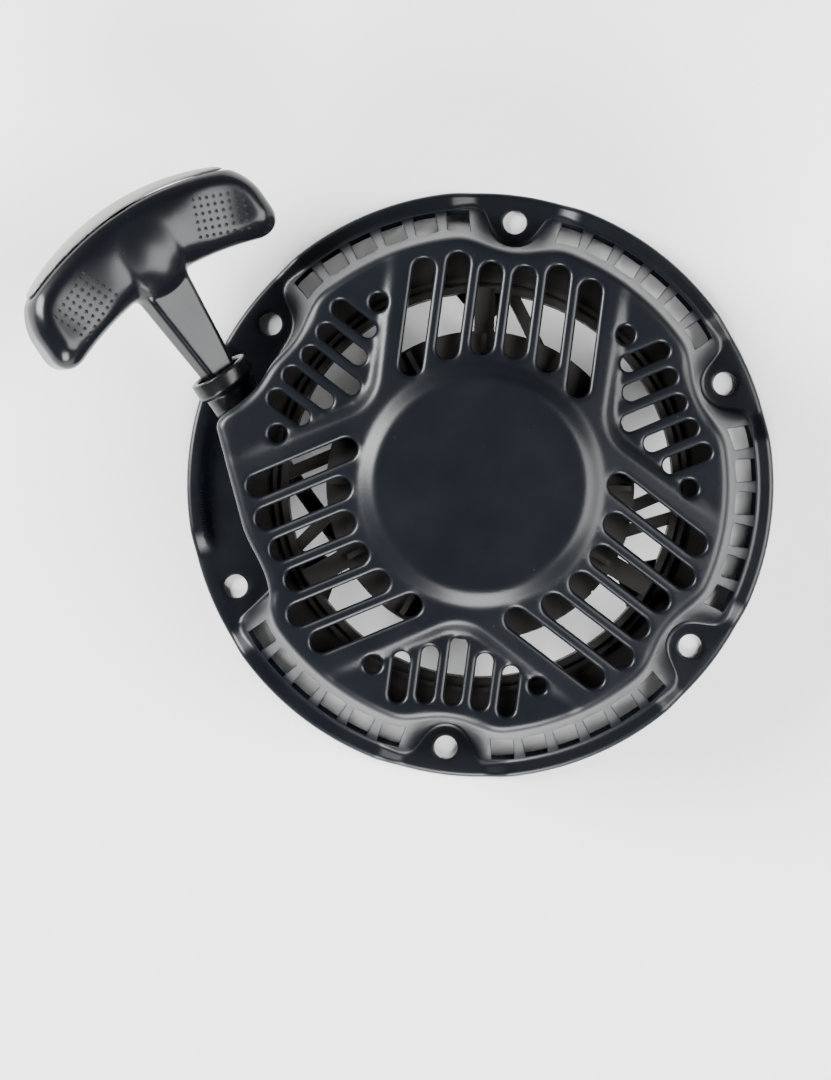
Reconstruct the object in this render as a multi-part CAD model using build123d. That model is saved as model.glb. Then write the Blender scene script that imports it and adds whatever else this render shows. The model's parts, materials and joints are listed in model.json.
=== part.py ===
from build123d import *
import math
import os

# Recoil starter for a small engine. Millimetres, Z up and away from the engine.
# The origin is the centre of the bolt circle, on the back face of the flange (z = 0).

# Pressed-steel cover
SHEET = 1.5
FLANGE_R = 93.0
BOLT_CIRCLE_R = 84.2
BOLT_HOLE_R = 3.7
BOLT_COUNT = 6
FIRST_BOLT_DEG = 22.5
BOLT_PITCH_DEG = 360 / BOLT_COUNT
RIM_RIDGE_Z = 5.0
RIDGE_HALF_DEG = 20.0
WALL_FOOT_R = 89.2
SHOULDER_R = 73.6
SHOULDER_Z = 44.0
SHOULDER_ROUND = 4.0
WALL_LEAN = (WALL_FOOT_R - SHOULDER_R) / SHOULDER_Z
DISC_FOOT_R = 35.6
DISC_FOOT_Z = 48.0
DISC_TOP_R = 31.5
DISC_TOP_Z = 51.0
NOTCH_FOOT_R = 7.8
NOTCH_TOP_R = 13.0
FLAT_SIDE_DEG = 195.0
FLAT_SIDE_DISTANCE = 71.6
FLAT_SIDE_END = 14.0

# Vents in the cover
VENT_TIP_R = 69.4
WIDE_GROUP_DEG = (82.5, 202.5, 322.5)
WIDE_SLOT_OFFSETS = (-25, -15, -5, 5, 15, 25)
WIDE_SLOT_WIDTH = 6.6
WIDE_SLOT_INNER_R = 38.5
POCKET_GROUP_DEG = (22.5, 142.5, 262.5)
POCKET_SLOT_PITCH = 8.2
POCKET_SLOT_WIDTH = 5.0
POCKET_SLOT_INNER_R = 45.6
POCKET_SLOT_STEP = 4.55
POCKET_APEX_R = 39.0
POCKET_HALF_DEG = 60.0
POCKET_FLOOR_Z = 43.8
ROUND_VENT_R = 2.65
ROUND_VENT_AT = (57.0, 24.7)
WINDOW_ARC_DEG = (52.5, 112.5, 232.5, 292.5, 352.5)
WINDOW_PITCH_DEG = 7.1
WINDOW_WIDTH = 7.0
WINDOW_LOW_Z = 5.8
WINDOW_HIGH_Z = 33.0

# Rope line: it leaves the reel, passes the guide and rises to the grip
ROPE_R = 2.5
ROPE_DEG = 122.5
ROPE_RISE_DEG = 15.0
SNOUT_END = 60.0
SNOUT_SIDES = (40.5, 60.0)
GUIDE_MOUTH = (72.6, 48.8)
GUIDE_BODY_R = 5.6
RUN_R = 43.9
RUN_Z = 24.1
RUN_WRAP_DEG = 100.0
RUN_BEND_R = 22.0
RUN_END = -9.3
TAIL_START = -9.0

# Reel and what runs on the centre post
POST_R = 7.0
POST_UPPER_R = 9.0
POST_BASE_R = 16.0
POST_END_Z = 7.6
REEL_LOW_Z = 14.0
REEL_FLANGE = 2.0
REEL_FLANGE_R = 46.5
GROOVE_LOW_Z = REEL_LOW_Z + REEL_FLANGE
GROOVE_HIGH_Z = 27.0
GROOVE_R = 36.0
REEL_FLOOR_Z = GROOVE_HIGH_Z + REEL_FLANGE
DRUM_INNER_R = 33.0
DRUM_OUTER_R = 35.5
DRUM_TOP_Z = 38.5
HUB_R = 13.0
HUB_LOW_Z = 7.7
BUSH_R = 9.0
COIL_R = 38.6
COIL_PITCH = 4.9
COIL_Z = 18.6

# Ratchets under the reel and the guide that throws them out
PIVOT_R = 21.0
PIVOT_PIN_R = 3.0
RATCHET_LOW_Z = 8.0
RATCHET_HIGH_Z = 13.0
RATCHET_REACH = 20.0
RATCHET_REST_DEG = -95.8
RATCHET_HALF_WIDTH = 2.5
GUIDE_PEG_R = 1.6
GUIDE_PEG_AT = (20.84, -46.0)
GUIDE_PEG_TOP_Z = 11.5
GUIDE_PLATE_R = 28.0
GUIDE_PLATE_Z = (5.4, 7.4)

# Recoil spring, a flat strip wound in semicircles
SPRING_STRIP = 0.8
SPRING_HALF_PITCH = 1.2
SPRING_START_R = 9.9
SPRING_HALF_TURNS = 18
SPRING_Z = (29.5, 38.4)

# Inner frame of moulded plastic
FRAME_DISC_R = 46.0
FRAME_DISC_Z = (39.0, 41.0)
FRAME_RING_R = (58.0, 74.6)
FRAME_RING_Z = (30.0, 33.0)
FRAME_ARM_DEG = (88.6, 208.6, 328.6)
FRAME_BARS_DEG = ((66.8, 81.0), (168.0, 177.0), (-18.6, -9.5), (-9.2, -1.0), (190.0, 199.0))
FRAME_FIX_DEG = (82.5, 202.5, 322.5)
FRAME_FIX_R = 66.0

# Grip, in the rope line's own axes: along the rope, across, and up
GRIP_ROLL_DEG = 20.0
GRIP_THICK = 22.0
GRIP_ROUND = 7.0
GRIP_HALF_LENGTH = 41.4
GRIP_CORNER_R = 8.5
GRIP_BACK_PEAK = 59.0
GRIP_BACK_R = 81.4
GRIP_FRONT_PEAK = 31.5
GRIP_FRONT_R = 101.3
GRIP_CAP_THICK = 2.8
GRIP_PARTING_R = 96.0
STEM_SECTIONS = ((-7.0, 8.6, 10.0), (0.0, 9.2, 10.6), (36.0, 13.0, 14.0))
KNOT_SEAT = 41.0
KNOT_POCKET_R = 6.6


def polar(radius, degrees, z=0.0):
    """A point at a radius, an angle and a height about the starter's axis."""
    angle = math.radians(degrees)
    return (radius * math.cos(angle), radius * math.sin(angle), z)


def ring(outer, inner, low, high):
    """A disc about the Z axis between two heights, with a hole where inner isn't 0."""
    disc = Pos(0, 0, (low + high) / 2) * Cylinder(outer, high - low)
    if inner:
        disc -= Pos(0, 0, (low + high) / 2) * Cylinder(inner, high - low + 2)
    return disc


def turned(points):
    """The solid that a closed (radius, z) outline makes round the Z axis."""
    return revolve(Plane.XZ * Polygon(*points, align=None), Axis.Z)


def prism(outline, low, high):
    """A flat outline raised between two heights."""
    return Pos(0, 0, low) * extrude(outline, high - low)


def rope_frame():
    """Local x along the rope's direction in plan, y to its left, z up."""
    return Rot(0, 0, ROPE_DEG)


def rope_plane():
    """Plane at the guide's mouth: x along the rising rope, z up from it, level across."""
    plan = math.radians(ROPE_DEG)
    rise = math.radians(ROPE_RISE_DEG)
    along, across = GUIDE_MOUTH
    height = RUN_Z + (along - SNOUT_END) * math.tan(rise)
    mouth = (
        along * math.cos(plan) - across * math.sin(plan),
        along * math.sin(plan) + across * math.cos(plan),
        height,
    )
    direction = (math.cos(plan) * math.cos(rise), math.sin(plan) * math.cos(rise), math.sin(rise))
    up = (-math.cos(plan) * math.sin(rise), -math.sin(plan) * math.sin(rise), math.cos(rise))
    return Plane(origin=mouth, x_dir=direction, z_dir=up)


def about_rope(shape):
    """Turns a shape made about the Z axis so that +Z runs out along the rope."""
    return rope_plane() * (Rot(0, 90, 0) * shape)


def on_grip(shape):
    """Places a shape made in the grip's axes: x along the rope, y across, z up."""
    return rope_plane() * (Rot(GRIP_ROLL_DEG, 0, 0) * shape)


def bolt_degs():
    """The angles of the six mounting holes."""
    return [FIRST_BOLT_DEG + BOLT_PITCH_DEG * i for i in range(BOLT_COUNT)]


# ---- Cover ----


def cover_bowl(gap):
    """The turned bowl, shrunk all round by the gap: 0 outside, the sheet inside."""
    lean = gap * math.hypot(1, WALL_LEAN)
    foot_z = -1.0 if gap else 0.0
    foot_r = WALL_FOOT_R - lean - WALL_LEAN * foot_z
    shoulder_z = SHOULDER_Z - gap * 0.95
    shoulder_r = SHOULDER_R - lean + WALL_LEAN * (SHOULDER_Z - shoulder_z)
    outline = Polygon(
        (0, foot_z),
        (foot_r, foot_z),
        (shoulder_r, shoulder_z),
        (DISC_FOOT_R - gap * 0.6, DISC_FOOT_Z - gap),
        (DISC_TOP_R - gap * 0.4, DISC_TOP_Z - gap),
        (0, DISC_TOP_Z - gap),
        align=None,
    )
    corner = outline.vertices().sort_by_distance((shoulder_r, shoulder_z))[0]
    outline = fillet(corner, SHOULDER_ROUND - gap)
    return revolve(Plane.XZ * outline, Axis.Z)


def bolt_notches(gap):
    """Cones that hollow the wall round each mounting hole."""
    foot_z = -2.0 if gap else SHEET
    slope = (NOTCH_TOP_R - NOTCH_FOOT_R) / (SHOULDER_Z - SHEET)
    top_z = DISC_TOP_Z + 2
    low_r = NOTCH_FOOT_R + gap + slope * (foot_z - SHEET)
    high_r = NOTCH_FOOT_R + gap + slope * (top_z - SHEET)
    cone = Cone(low_r, high_r, top_z - foot_z)
    return [Pos(*polar(BOLT_CIRCLE_R, deg, (foot_z + top_z) / 2)) * cone for deg in bolt_degs()]


def flat_side(gap):
    """The block that cuts the bowl flat, from the rope guide to the next mounting hole."""
    low = -5.0 if gap else SHEET
    block = Box(60, 120, 60, align=(Align.MIN, Align.MAX, Align.MIN))
    return Rot(0, 0, FLAT_SIDE_DEG) * (Pos(FLAT_SIDE_DISTANCE - gap, FLAT_SIDE_END + gap, low) * block)


def guide_recess(gap):
    """The prism that clears the wall outside the snout's end, up to the next bolt notch."""
    low = -5.0 if gap else SHEET
    outline = Polygon(
        (SNOUT_END, 80), (SNOUT_END, 39), (65, 33.5), (79, 29), (110, 29), (110, 80), align=None
    )
    if gap:
        outline = offset(outline, gap, kind=Kind.INTERSECTION)
    return rope_frame() * prism(outline, low, 60)


def snout(gap):
    """The block that carries the bowl out to the rope guide."""
    near, far = SNOUT_SIDES
    low = -1.0 if gap else 0.0
    outline = Polygon(
        (25, near + gap), (SNOUT_END - gap, near + gap), (SNOUT_END - gap, far), (25, far), align=None
    )
    return rope_frame() * prism(outline, low, SHOULDER_Z - gap)


def vent_pocket(degrees, gap):
    """The V-shaped sunk field of a small vent group, with a level floor."""
    spread = 60.0 * math.tan(math.radians(POCKET_HALF_DEG))
    apex = POCKET_APEX_R
    outline = Polygon((apex, 0), (apex + 60, -spread), (apex + 60, spread), align=None)
    if gap:
        outline = offset(outline, gap, kind=Kind.INTERSECTION)
    return Rot(0, 0, degrees) * prism(outline, POCKET_FLOOR_Z - gap, 60)


def rim_ridge(degrees, gap):
    """One raised stretch of the rim between two mounting holes."""
    over_flat_side = abs(degrees - 172.5) < 1
    inner = (88.0 if over_flat_side else 80.0) + (gap if over_flat_side else 0)
    half = RIDGE_HALF_DEG - math.degrees(gap / FLANGE_R)
    low = -1.0 if gap else 0.0
    outline = Polygon(
        (inner, low),
        (FLANGE_R - gap, low),
        (FLANGE_R - gap, RIM_RIDGE_Z - gap - 1),
        (FLANGE_R - gap - 1, RIM_RIDGE_Z - gap),
        (inner, RIM_RIDGE_Z - gap),
        align=None,
    )
    swept = revolve(Plane.XZ * outline, Axis.Z, 2 * half)
    return Rot(0, 0, degrees - half) * swept


def cover_form(gap):
    """The cover's outside form, or its inside form when the gap is the sheet."""
    form = cover_bowl(gap) + snout(gap)
    form -= bolt_notches(gap)
    form -= [flat_side(gap), guide_recess(gap)]
    form -= [vent_pocket(deg, gap) for deg in POCKET_GROUP_DEG]
    return form + [rim_ridge(deg + BOLT_PITCH_DEG / 2, gap) for deg in bolt_degs()]


def slot_cut(inner_r, offset_t, width):
    """A round-ended slot in a vent group, in the group's own axes."""
    start = math.sqrt(inner_r**2 - offset_t**2)
    end = math.sqrt(VENT_TIP_R**2 - offset_t**2)
    outline = Pos((start + end) / 2, offset_t) * SlotOverall(end - start, width)
    return prism(outline, 38, 60)


def top_vents():
    """Every slot and round hole in the top of the cover."""
    cuts = []
    for deg in WIDE_GROUP_DEG:
        for t in WIDE_SLOT_OFFSETS:
            cuts.append(Rot(0, 0, deg) * slot_cut(WIDE_SLOT_INNER_R, t, WIDE_SLOT_WIDTH))
    for deg in POCKET_GROUP_DEG:
        for k in range(-2, 3):
            inner = POCKET_SLOT_INNER_R + POCKET_SLOT_STEP * abs(k)
            cuts.append(Rot(0, 0, deg) * slot_cut(inner, POCKET_SLOT_PITCH * k, POCKET_SLOT_WIDTH))
        along, across = ROUND_VENT_AT
        for side in (-1, 1):
            cuts.append(Rot(0, 0, deg) * (Pos(along, side * across, 50) * Cylinder(ROUND_VENT_R, 20)))
    return cuts


def side_windows():
    """The upright windows in the wall between the mounting holes."""
    height = WINDOW_HIGH_Z - WINDOW_LOW_Z
    outline = Pos(0, (WINDOW_LOW_Z + WINDOW_HIGH_Z) / 2) * Rectangle(WINDOW_WIDTH, height)
    outline = fillet(outline.vertices().group_by(Axis.Y)[-1], 2.5)
    cutter = extrude(Plane(origin=(68, 0, 0), x_dir=(0, 1, 0), z_dir=(1, 0, 0)) * outline, 24)
    cuts = []
    for arc in WINDOW_ARC_DEG:
        for k in range(6):
            cuts.append(Rot(0, 0, arc + WINDOW_PITCH_DEG * (k - 2.5)) * cutter)
    return cuts


def make_cover():
    """The pressed cover: bowl, snout, flange, rim ridges, vents and holes."""
    body = cover_form(0) + ring(FLANGE_R, 0, 0, SHEET)
    body -= cover_form(SHEET)
    body -= top_vents()
    body -= side_windows()
    body -= [Pos(*polar(BOLT_CIRCLE_R, deg)) * Cylinder(BOLT_HOLE_R, 6) for deg in bolt_degs()]
    guide_hole = Pos(0, 0, -13) * Cylinder(GUIDE_BODY_R + 0.05, 9)
    return body - about_rope(guide_hole)


# ---- Fixed parts inside the cover ----


def make_centre_post():
    """The post welded under the cover's disc, tapped at its end for the centre screw."""
    top = DISC_TOP_Z - SHEET
    post = turned(
        [
            (0, POST_END_Z),
            (POST_R - 0.5, POST_END_Z),
            (POST_R, POST_END_Z + 0.5),
            (POST_R, REEL_FLOOR_Z + 0.2),
            (POST_UPPER_R, REEL_FLOOR_Z + 0.2),
            (POST_UPPER_R, top - 3.5),
            (POST_UPPER_R + 1.5, top - 2),
            (POST_BASE_R, top - 2),
            (POST_BASE_R, top),
            (0, top),
        ]
    )
    post -= ring(2.55, 0, 0, POST_END_Z + 16)
    hook_slot = Pos(8.2, -0.4, (SPRING_Z[0] + SPRING_Z[1]) / 2) * Box(2.4, 1.4, 9.6)
    return post - hook_slot


def radial_bar(inner_r, inner_deg, outer_r, outer_deg, width, low, high):
    """A straight bar between two points given by radius and angle."""
    start = Vector(*polar(inner_r, inner_deg))
    end = Vector(*polar(outer_r, outer_deg))
    middle = (start + end) * 0.5
    run = end - start
    heading = math.degrees(math.atan2(run.Y, run.X))
    bar = Box(run.length, width, high - low)
    return Pos(middle.X, middle.Y, (low + high) / 2) * (Rot(0, 0, heading) * bar)


def frame_ring():
    """The frame's outer ring with its raised inner lip, trimmed to the cover's walls."""
    low, high = FRAME_RING_Z
    inner, outer = FRAME_RING_R
    shape = ring(outer, inner, low, high) + ring(inner + 2, inner, low, high + 3)
    shape += ring(62.6, 61.2, low, high + 1.6)
    notch = Cylinder(13.9, 20)
    shape -= [Pos(*polar(BOLT_CIRCLE_R, deg, high)) * notch for deg in bolt_degs()]
    wall_gap = SHEET + 0.5
    return shape - [flat_side(wall_gap), guide_recess(wall_gap)]


def frame_arm(degrees):
    """One of the three arms, which forks into the ring."""
    low, high = FRAME_RING_Z[0], FRAME_DISC_Z[1]
    inner, outer = 44.0, FRAME_RING_R[0] + 1
    arm = radial_bar(inner, degrees, outer, degrees, 6.0, low, high)
    fork = Polygon((50, -2), (50, 2), (outer, 10), (outer, -10), align=None)
    return arm + Rot(0, 0, degrees) * prism(fork, low, FRAME_RING_Z[1])


def frame_rib(degrees):
    """A thin rib on top of the frame's disc, cut short under the sunk vent fields."""
    under_pocket = any(abs((degrees - deg + 180) % 360 - 180) < 14 for deg in POCKET_GROUP_DEG)
    outer = 36.0 if under_pocket else 45.0
    return radial_bar(17.0, degrees, outer, degrees, 1.6, FRAME_DISC_Z[1] - 0.5, 43.5)


def make_inner_frame():
    """The moulded frame: disc over the spring, ribs, arms, slanted bars and ring."""
    disc = ring(FRAME_DISC_R, POST_UPPER_R + 0.4, *FRAME_DISC_Z)
    skirt = ring(FRAME_DISC_R, FRAME_DISC_R - 2, FRAME_RING_Z[0] + 2, FRAME_DISC_Z[1])
    shape = disc + skirt + frame_ring()
    shape += [frame_arm(deg) for deg in FRAME_ARM_DEG]
    shape += [frame_rib(28.6 + 30 * i) for i in range(12)]
    for inner_deg, outer_deg in FRAME_BARS_DEG:
        outer = FRAME_RING_R[0] + 1
        shape += radial_bar(45.0, inner_deg, outer, outer_deg, 3.6, FRAME_RING_Z[0], FRAME_RING_Z[1] + 2)
    holes = [Pos(*polar(FRAME_FIX_R, deg, 32)) * Cylinder(1.8, 12) for deg in FRAME_FIX_DEG]
    return shape - holes


def make_frame_tabs():
    """Three tabs welded inside the wall that the frame is screwed to."""
    low, high = FRAME_RING_Z[0] - 2.0, FRAME_RING_Z[0]
    tabs = []
    for deg in FRAME_FIX_DEG:
        tab = Rot(0, 0, deg) * (Pos(68.0, 0, (low + high) / 2) * Box(14, 11, high - low))
        tab -= bolt_notches(SHEET + 0.02)
        tab -= flat_side(SHEET + 0.02)
        tab -= Pos(*polar(FRAME_FIX_R, deg, low)) * Cylinder(2.0, 12)
        tabs.append(tab)
    return tabs


def make_frame_screws():
    """Three self-tapping screws up through the tabs into the frame."""
    under_tab = FRAME_RING_Z[0] - 2.0
    head = turned([(0, -2.4), (2.4, -2.4), (3.6, -1.4), (3.6, 0), (1.75, 0), (1.75, 6.4), (0, 7.4)])
    cross = Pos(0, 0, -2.0) * (Box(3.4, 0.9, 1.2) + Box(0.9, 3.4, 1.2))
    return [Pos(*polar(FRAME_FIX_R, deg, under_tab)) * (head - cross) for deg in FRAME_FIX_DEG]


def make_rope_guide():
    """The eyelet in the snout: cup for the grip's nose, throat and inner bell mouth."""
    eyelet = about_rope(
        turned(
            [
                (7.6, 0),
                (9.0, 0),
                (9.5, -0.6),
                (9.5, -4.4),
                (8.0, -6.0),
                (8.0, -16.6),
                (6.6, -17.0),
                (6.6, -19.0),
                (5.6, -19.0),
                (4.6, -16.0),
                (3.6, -12.4),
                (3.1, -9.6),
                (3.1, -8.0),
                (3.6, -7.6),
                (6.8, -7.2),
                (6.8, -1.0),
            ]
        )
    )
    beyond = Box(60, 90, 90, align=(Align.MIN, Align.CENTER, Align.CENTER))
    outside = eyelet & (rope_frame() * (Pos(SNOUT_END + 0.02, 50, 25) * beyond))
    inside = eyelet & about_rope(Pos(0, 0, -21.5) * Cylinder(12, 10))
    inside -= flat_side(SHEET + 0.2)
    through = eyelet & about_rope(Pos(0, 0, -13.5) * Cylinder(GUIDE_BODY_R, 9))
    return outside + through + inside


def make_centre_screw():
    """The flanged screw that closes the stack under the reel."""
    shape = ring(2.5, 0, 4.6, POST_END_Z + 12) + ring(9.0, 0, 3.4, 4.6)
    head = Pos(0, 0, 0.8) * extrude(RegularPolygon(5.0, 6, major_radius=False), 2.6)
    return shape + head


def make_screw_collar():
    """The spacer clamped by the centre screw, on which the ratchet guide turns."""
    return ring(6.0, 2.6, 4.6, POST_END_Z)


def spring_outline():
    """Outline of the wound strip: semicircles about two centres, out and back."""
    half = SPRING_STRIP / 2
    sides = []
    for side in (half, -half):
        arcs = []
        for i in range(SPRING_HALF_TURNS):
            centre = (SPRING_HALF_PITCH * (i % 2), 0)
            radius = SPRING_START_R + SPRING_HALF_PITCH * i + side
            arcs.append(CenterArc(centre, radius, 180 * (i % 2), 180))
        sides.append(arcs)
    outer, inner = sides
    caps = [Line(inner[0] @ 0, outer[0] @ 0), Line(inner[-1] @ 1, outer[-1] @ 1)]
    return make_face(Wire(outer + inner + caps))


def make_recoil_spring():
    """The flat spiral spring, hooked to the post at its inner end."""
    low, high = SPRING_Z
    strip = prism(spring_outline(), low, high)
    hook = Pos(8.6, -0.35, (low + high) / 2) * Box(3.2, 0.8, high - low)
    return strip + hook


def make_rope_run():
    """The stretch of rope from its last wrap on the reel to the guide's throat."""
    plane = rope_plane()
    along, across = GUIDE_MOUTH
    corner_x, corner_y = SNOUT_END, across
    distance = math.hypot(corner_x, corner_y)
    bearing = ROPE_DEG + math.degrees(math.atan2(corner_y, corner_x))
    leave_deg = bearing + math.degrees(math.acos(RUN_R / distance))
    wrap = Pos(0, 0, RUN_Z) * CenterArc((0, 0), RUN_R, leave_deg + RUN_WRAP_DEG, -RUN_WRAP_DEG)
    corner = polar(distance, bearing, RUN_Z)
    end = plane.from_local_coords((RUN_END, 0, 0))
    straight = FilletPolyline(wrap @ 1, corner, end, radius=RUN_BEND_R)
    path = Wire([wrap.edge()] + list(straight.edges()))
    section = Plane(origin=path @ 0, z_dir=path % 0) * Circle(ROPE_R)
    return sweep(section, path=path)


# ---- Reel and what turns with it ----


def reel_pockets():
    """Lightening pockets under the reel, clear of the two ratchet bosses."""
    cuts = []
    for deg in (60, 120, 240, 300):
        pocket = ring(32.5, 16.0, REEL_LOW_Z - 1, 24.5)
        wedge = Polygon((0, 0), polar(60, deg - 22)[:2], polar(60, deg + 22)[:2], align=None)
        cuts.append(pocket & prism(wedge, REEL_LOW_Z - 2, 26))
    return cuts


def make_reel():
    """The moulded reel: rope groove, spring drum, hub, ratchet bosses and knot hole."""
    shape = turned(
        [
            (BUSH_R, HUB_LOW_Z),
            (HUB_R, HUB_LOW_Z),
            (HUB_R, REEL_LOW_Z),
            (REEL_FLANGE_R, REEL_LOW_Z),
            (REEL_FLANGE_R, GROOVE_LOW_Z - 0.5),
            (GROOVE_R, GROOVE_LOW_Z),
            (GROOVE_R, GROOVE_HIGH_Z),
            (REEL_FLANGE_R, GROOVE_HIGH_Z + 0.5),
            (REEL_FLANGE_R, REEL_FLOOR_Z),
            (DRUM_OUTER_R, REEL_FLOOR_Z),
            (DRUM_OUTER_R, DRUM_TOP_Z),
            (DRUM_INNER_R, DRUM_TOP_Z),
            (DRUM_INNER_R, REEL_FLOOR_Z),
            (BUSH_R, REEL_FLOOR_Z),
        ]
    )
    shape -= reel_pockets()
    for side in (1, -1):
        shape -= Pos(side * PIVOT_R, 0, 17) * Cylinder(PIVOT_PIN_R + 0.1, 10)
        shape -= Pos(side * PIVOT_R, 0, REEL_LOW_Z + 1.2) * Cylinder(5.4, 4.8)
    knot_hole = Rot(0, 0, 60) * (Pos(34, 0, COIL_Z) * (Rot(0, 90, 0) * Cylinder(ROPE_R + 0.3, 8)))
    return shape - knot_hole


def make_reel_bush():
    """The bronze bush that the reel runs on."""
    return ring(BUSH_R - 0.02, POST_R + 0.06, HUB_LOW_Z, REEL_FLOOR_Z)


def make_rope_coil():
    """The rope wound on the reel, with its end led in through the knot hole."""
    turns = Sketch() + [
        Pos(COIL_R, COIL_Z) * Circle(ROPE_R),
        Pos(COIL_R, COIL_Z + COIL_PITCH) * Circle(ROPE_R),
        Pos(COIL_R + COIL_PITCH, COIL_Z) * Circle(ROPE_R),
    ]
    coil = revolve(Plane.XZ * turns, Axis.Z)
    lead = Rot(0, 0, 60) * (Pos(34.6, 0, COIL_Z) * (Rot(0, 90, 0) * Cylinder(ROPE_R, 8.8)))
    return coil + lead


def make_reel_knot():
    """The stopper knot inside one of the reel's pockets."""
    return Rot(0, 0, 60) * (Pos(26.0, 0, COIL_Z) * Sphere(4.15))


def ratchet_spring(side):
    """The little torsion spring round a ratchet's pin, under the reel."""
    coils = Sketch() + [Pos(4.25, REEL_LOW_Z + 0.6 + 1.0 * i) * Circle(0.52) for i in range(3)]
    coil = revolve(Plane.XZ * coils, Axis.Z)
    leg = Pos(4.3, -1.1, REEL_LOW_Z + 0.3) * (Rot(90, 0, 0) * Cylinder(0.4, 2.2))
    placed = Pos(PIVOT_R, 0, 0) * (coil + leg)
    return placed if side > 0 else Rot(0, 0, 180) * placed


# ---- Ratchets and their guide ----


def ratchet(side):
    """A ratchet at rest: eye and pin at its pivot, arm and hooked tip."""
    half = RATCHET_HALF_WIDTH
    reach = RATCHET_REACH
    tip = Polygon(
        (0, -half - 1.5),
        (reach - 6, -half),
        (reach, -half + 0.6),
        (reach + 1.6, half + 0.4),
        (reach - 3, half + 1.4),
        (0, half + 1.5),
        align=None,
    )
    outline = tip + Circle(5.2)
    body = prism(outline, RATCHET_LOW_Z, RATCHET_HIGH_Z)
    pin = ring(PIVOT_PIN_R, 0, RATCHET_HIGH_Z - 0.5, 21.5)
    placed = Pos(PIVOT_R, 0, 0) * (Rot(0, 0, RATCHET_REST_DEG) * (body + pin))
    return placed if side > 0 else Rot(0, 0, 180) * placed


def make_ratchet_guide():
    """The steel plate that lags behind the reel, with a peg behind each ratchet."""
    low, high = GUIDE_PLATE_Z
    radius, deg = GUIDE_PEG_AT
    plate = ring(GUIDE_PLATE_R, 6.08, low, high)
    peg = ring(GUIDE_PEG_R, 0, high - 0.4, GUIDE_PEG_TOP_Z)
    for side in (0, 180):
        plate += Pos(*polar(radius, deg + side)) * peg
        plate -= Pos(*polar(18.5, deg + side + 90, low)) * Cylinder(5.5, 8)
    return plate


def make_friction_spring():
    """The friction washer between the screw's flange and the ratchet guide."""
    return ring(10.8, 6.3, 4.62, GUIDE_PLATE_Z[0] - 0.02)


# ---- Grip and rope end ----


def grip_outline():
    """The T bar seen from above: two arcs, square ends, and four rounded corners."""
    back = Pos(GRIP_BACK_PEAK - GRIP_BACK_R, 0) * Circle(GRIP_BACK_R)
    front = Pos(GRIP_FRONT_PEAK - GRIP_FRONT_R, 0) * Circle(GRIP_FRONT_R)
    strip = Pos(50, 0) * Rectangle(60, 2 * GRIP_HALF_LENGTH)
    outline = (back & strip) - front
    return fillet(outline.vertices(), GRIP_CORNER_R)


def grip_bar():
    """The rounded bar of the grip, cap and body together."""
    block = Pos(0, 0, -GRIP_THICK / 2) * extrude(grip_outline(), GRIP_THICK)
    rims = block.faces().filter_by(Axis.Z).edges()
    return fillet(rims, GRIP_ROUND)


def grip_cap_zone():
    """The region behind the parting line, which the cap fills."""
    front = Pos(GRIP_BACK_PEAK - GRIP_CAP_THICK - GRIP_PARTING_R, 0) * Circle(GRIP_PARTING_R)
    strip = Pos(60, 0) * Rectangle(60, 120)
    return prism(strip - front, -20, 20)


def grip_stem():
    """The tapered stem, whose nose seats in the rope guide."""
    sections = []
    for along, across, up in STEM_SECTIONS:
        plane = Plane(origin=(along, 0, 0), x_dir=(0, 1, 0), z_dir=(1, 0, 0))
        sections.append(plane * RectangleRounded(across, up, 3.0))
    return loft(sections, ruled=True)


def make_grip_body():
    """The grip's handle: bar in front of the parting line, stem, rope bore and pocket."""
    shape = grip_bar() - grip_cap_zone() + grip_stem()
    bore = Pos(20, 0, 0) * (Rot(0, 90, 0) * Cylinder(ROPE_R + 0.25, 70))
    pocket = Pos(KNOT_SEAT + 10, 0, 0) * (Rot(0, 90, 0) * Cylinder(KNOT_POCKET_R, 20))
    return on_grip(shape - bore - pocket)


def make_grip_cap():
    """The strip that closes the back of the grip."""
    return on_grip(grip_bar() & grip_cap_zone())


def make_rope_tail():
    """The rope's outer end, from the guide's throat to the knot in the grip."""
    end = KNOT_SEAT + 2.2
    return about_rope(Pos(0, 0, (TAIL_START + end) / 2) * Cylinder(ROPE_R, end - TAIL_START))


def make_knot_washer():
    """The washer that the knot pulls against."""
    return about_rope(ring(6.2, ROPE_R + 0.1, KNOT_SEAT + 0.1, KNOT_SEAT + 1.5))


def make_grip_knot():
    """The knot that holds the grip on the rope."""
    start = KNOT_SEAT + 2.2
    knot = turned([(0, 0), (3.2, 0), (5.2, 2.2), (5.4, 5.0), (4.6, 8.0), (2.6, 9.6), (0, 9.8)])
    return about_rope(Pos(0, 0, start) * knot)


def make_parts():
    """Every node's name and its solid, or its group of like solids."""
    return {
        "cover": make_cover(),
        "centre_post": make_centre_post(),
        "inner_frame": make_inner_frame(),
        "frame_tabs": make_frame_tabs(),
        "frame_screws": make_frame_screws(),
        "rope_guide": make_rope_guide(),
        "screw_collar": make_screw_collar(),
        "centre_screw": make_centre_screw(),
        "recoil_spring": make_recoil_spring(),
        "rope_run": make_rope_run(),
        "reel": make_reel(),
        "reel_bush": make_reel_bush(),
        "rope_coil": make_rope_coil(),
        "reel_knot": make_reel_knot(),
        "ratchet_spring_1": ratchet_spring(1),
        "ratchet_spring_2": ratchet_spring(-1),
        "ratchet_1": ratchet(1),
        "ratchet_2": ratchet(-1),
        "ratchet_guide": make_ratchet_guide(),
        "friction_spring": make_friction_spring(),
        "grip_body": make_grip_body(),
        "grip_cap": make_grip_cap(),
        "rope_tail": make_rope_tail(),
        "knot_washer": make_knot_washer(),
        "grip_knot": make_grip_knot(),
    }


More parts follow.
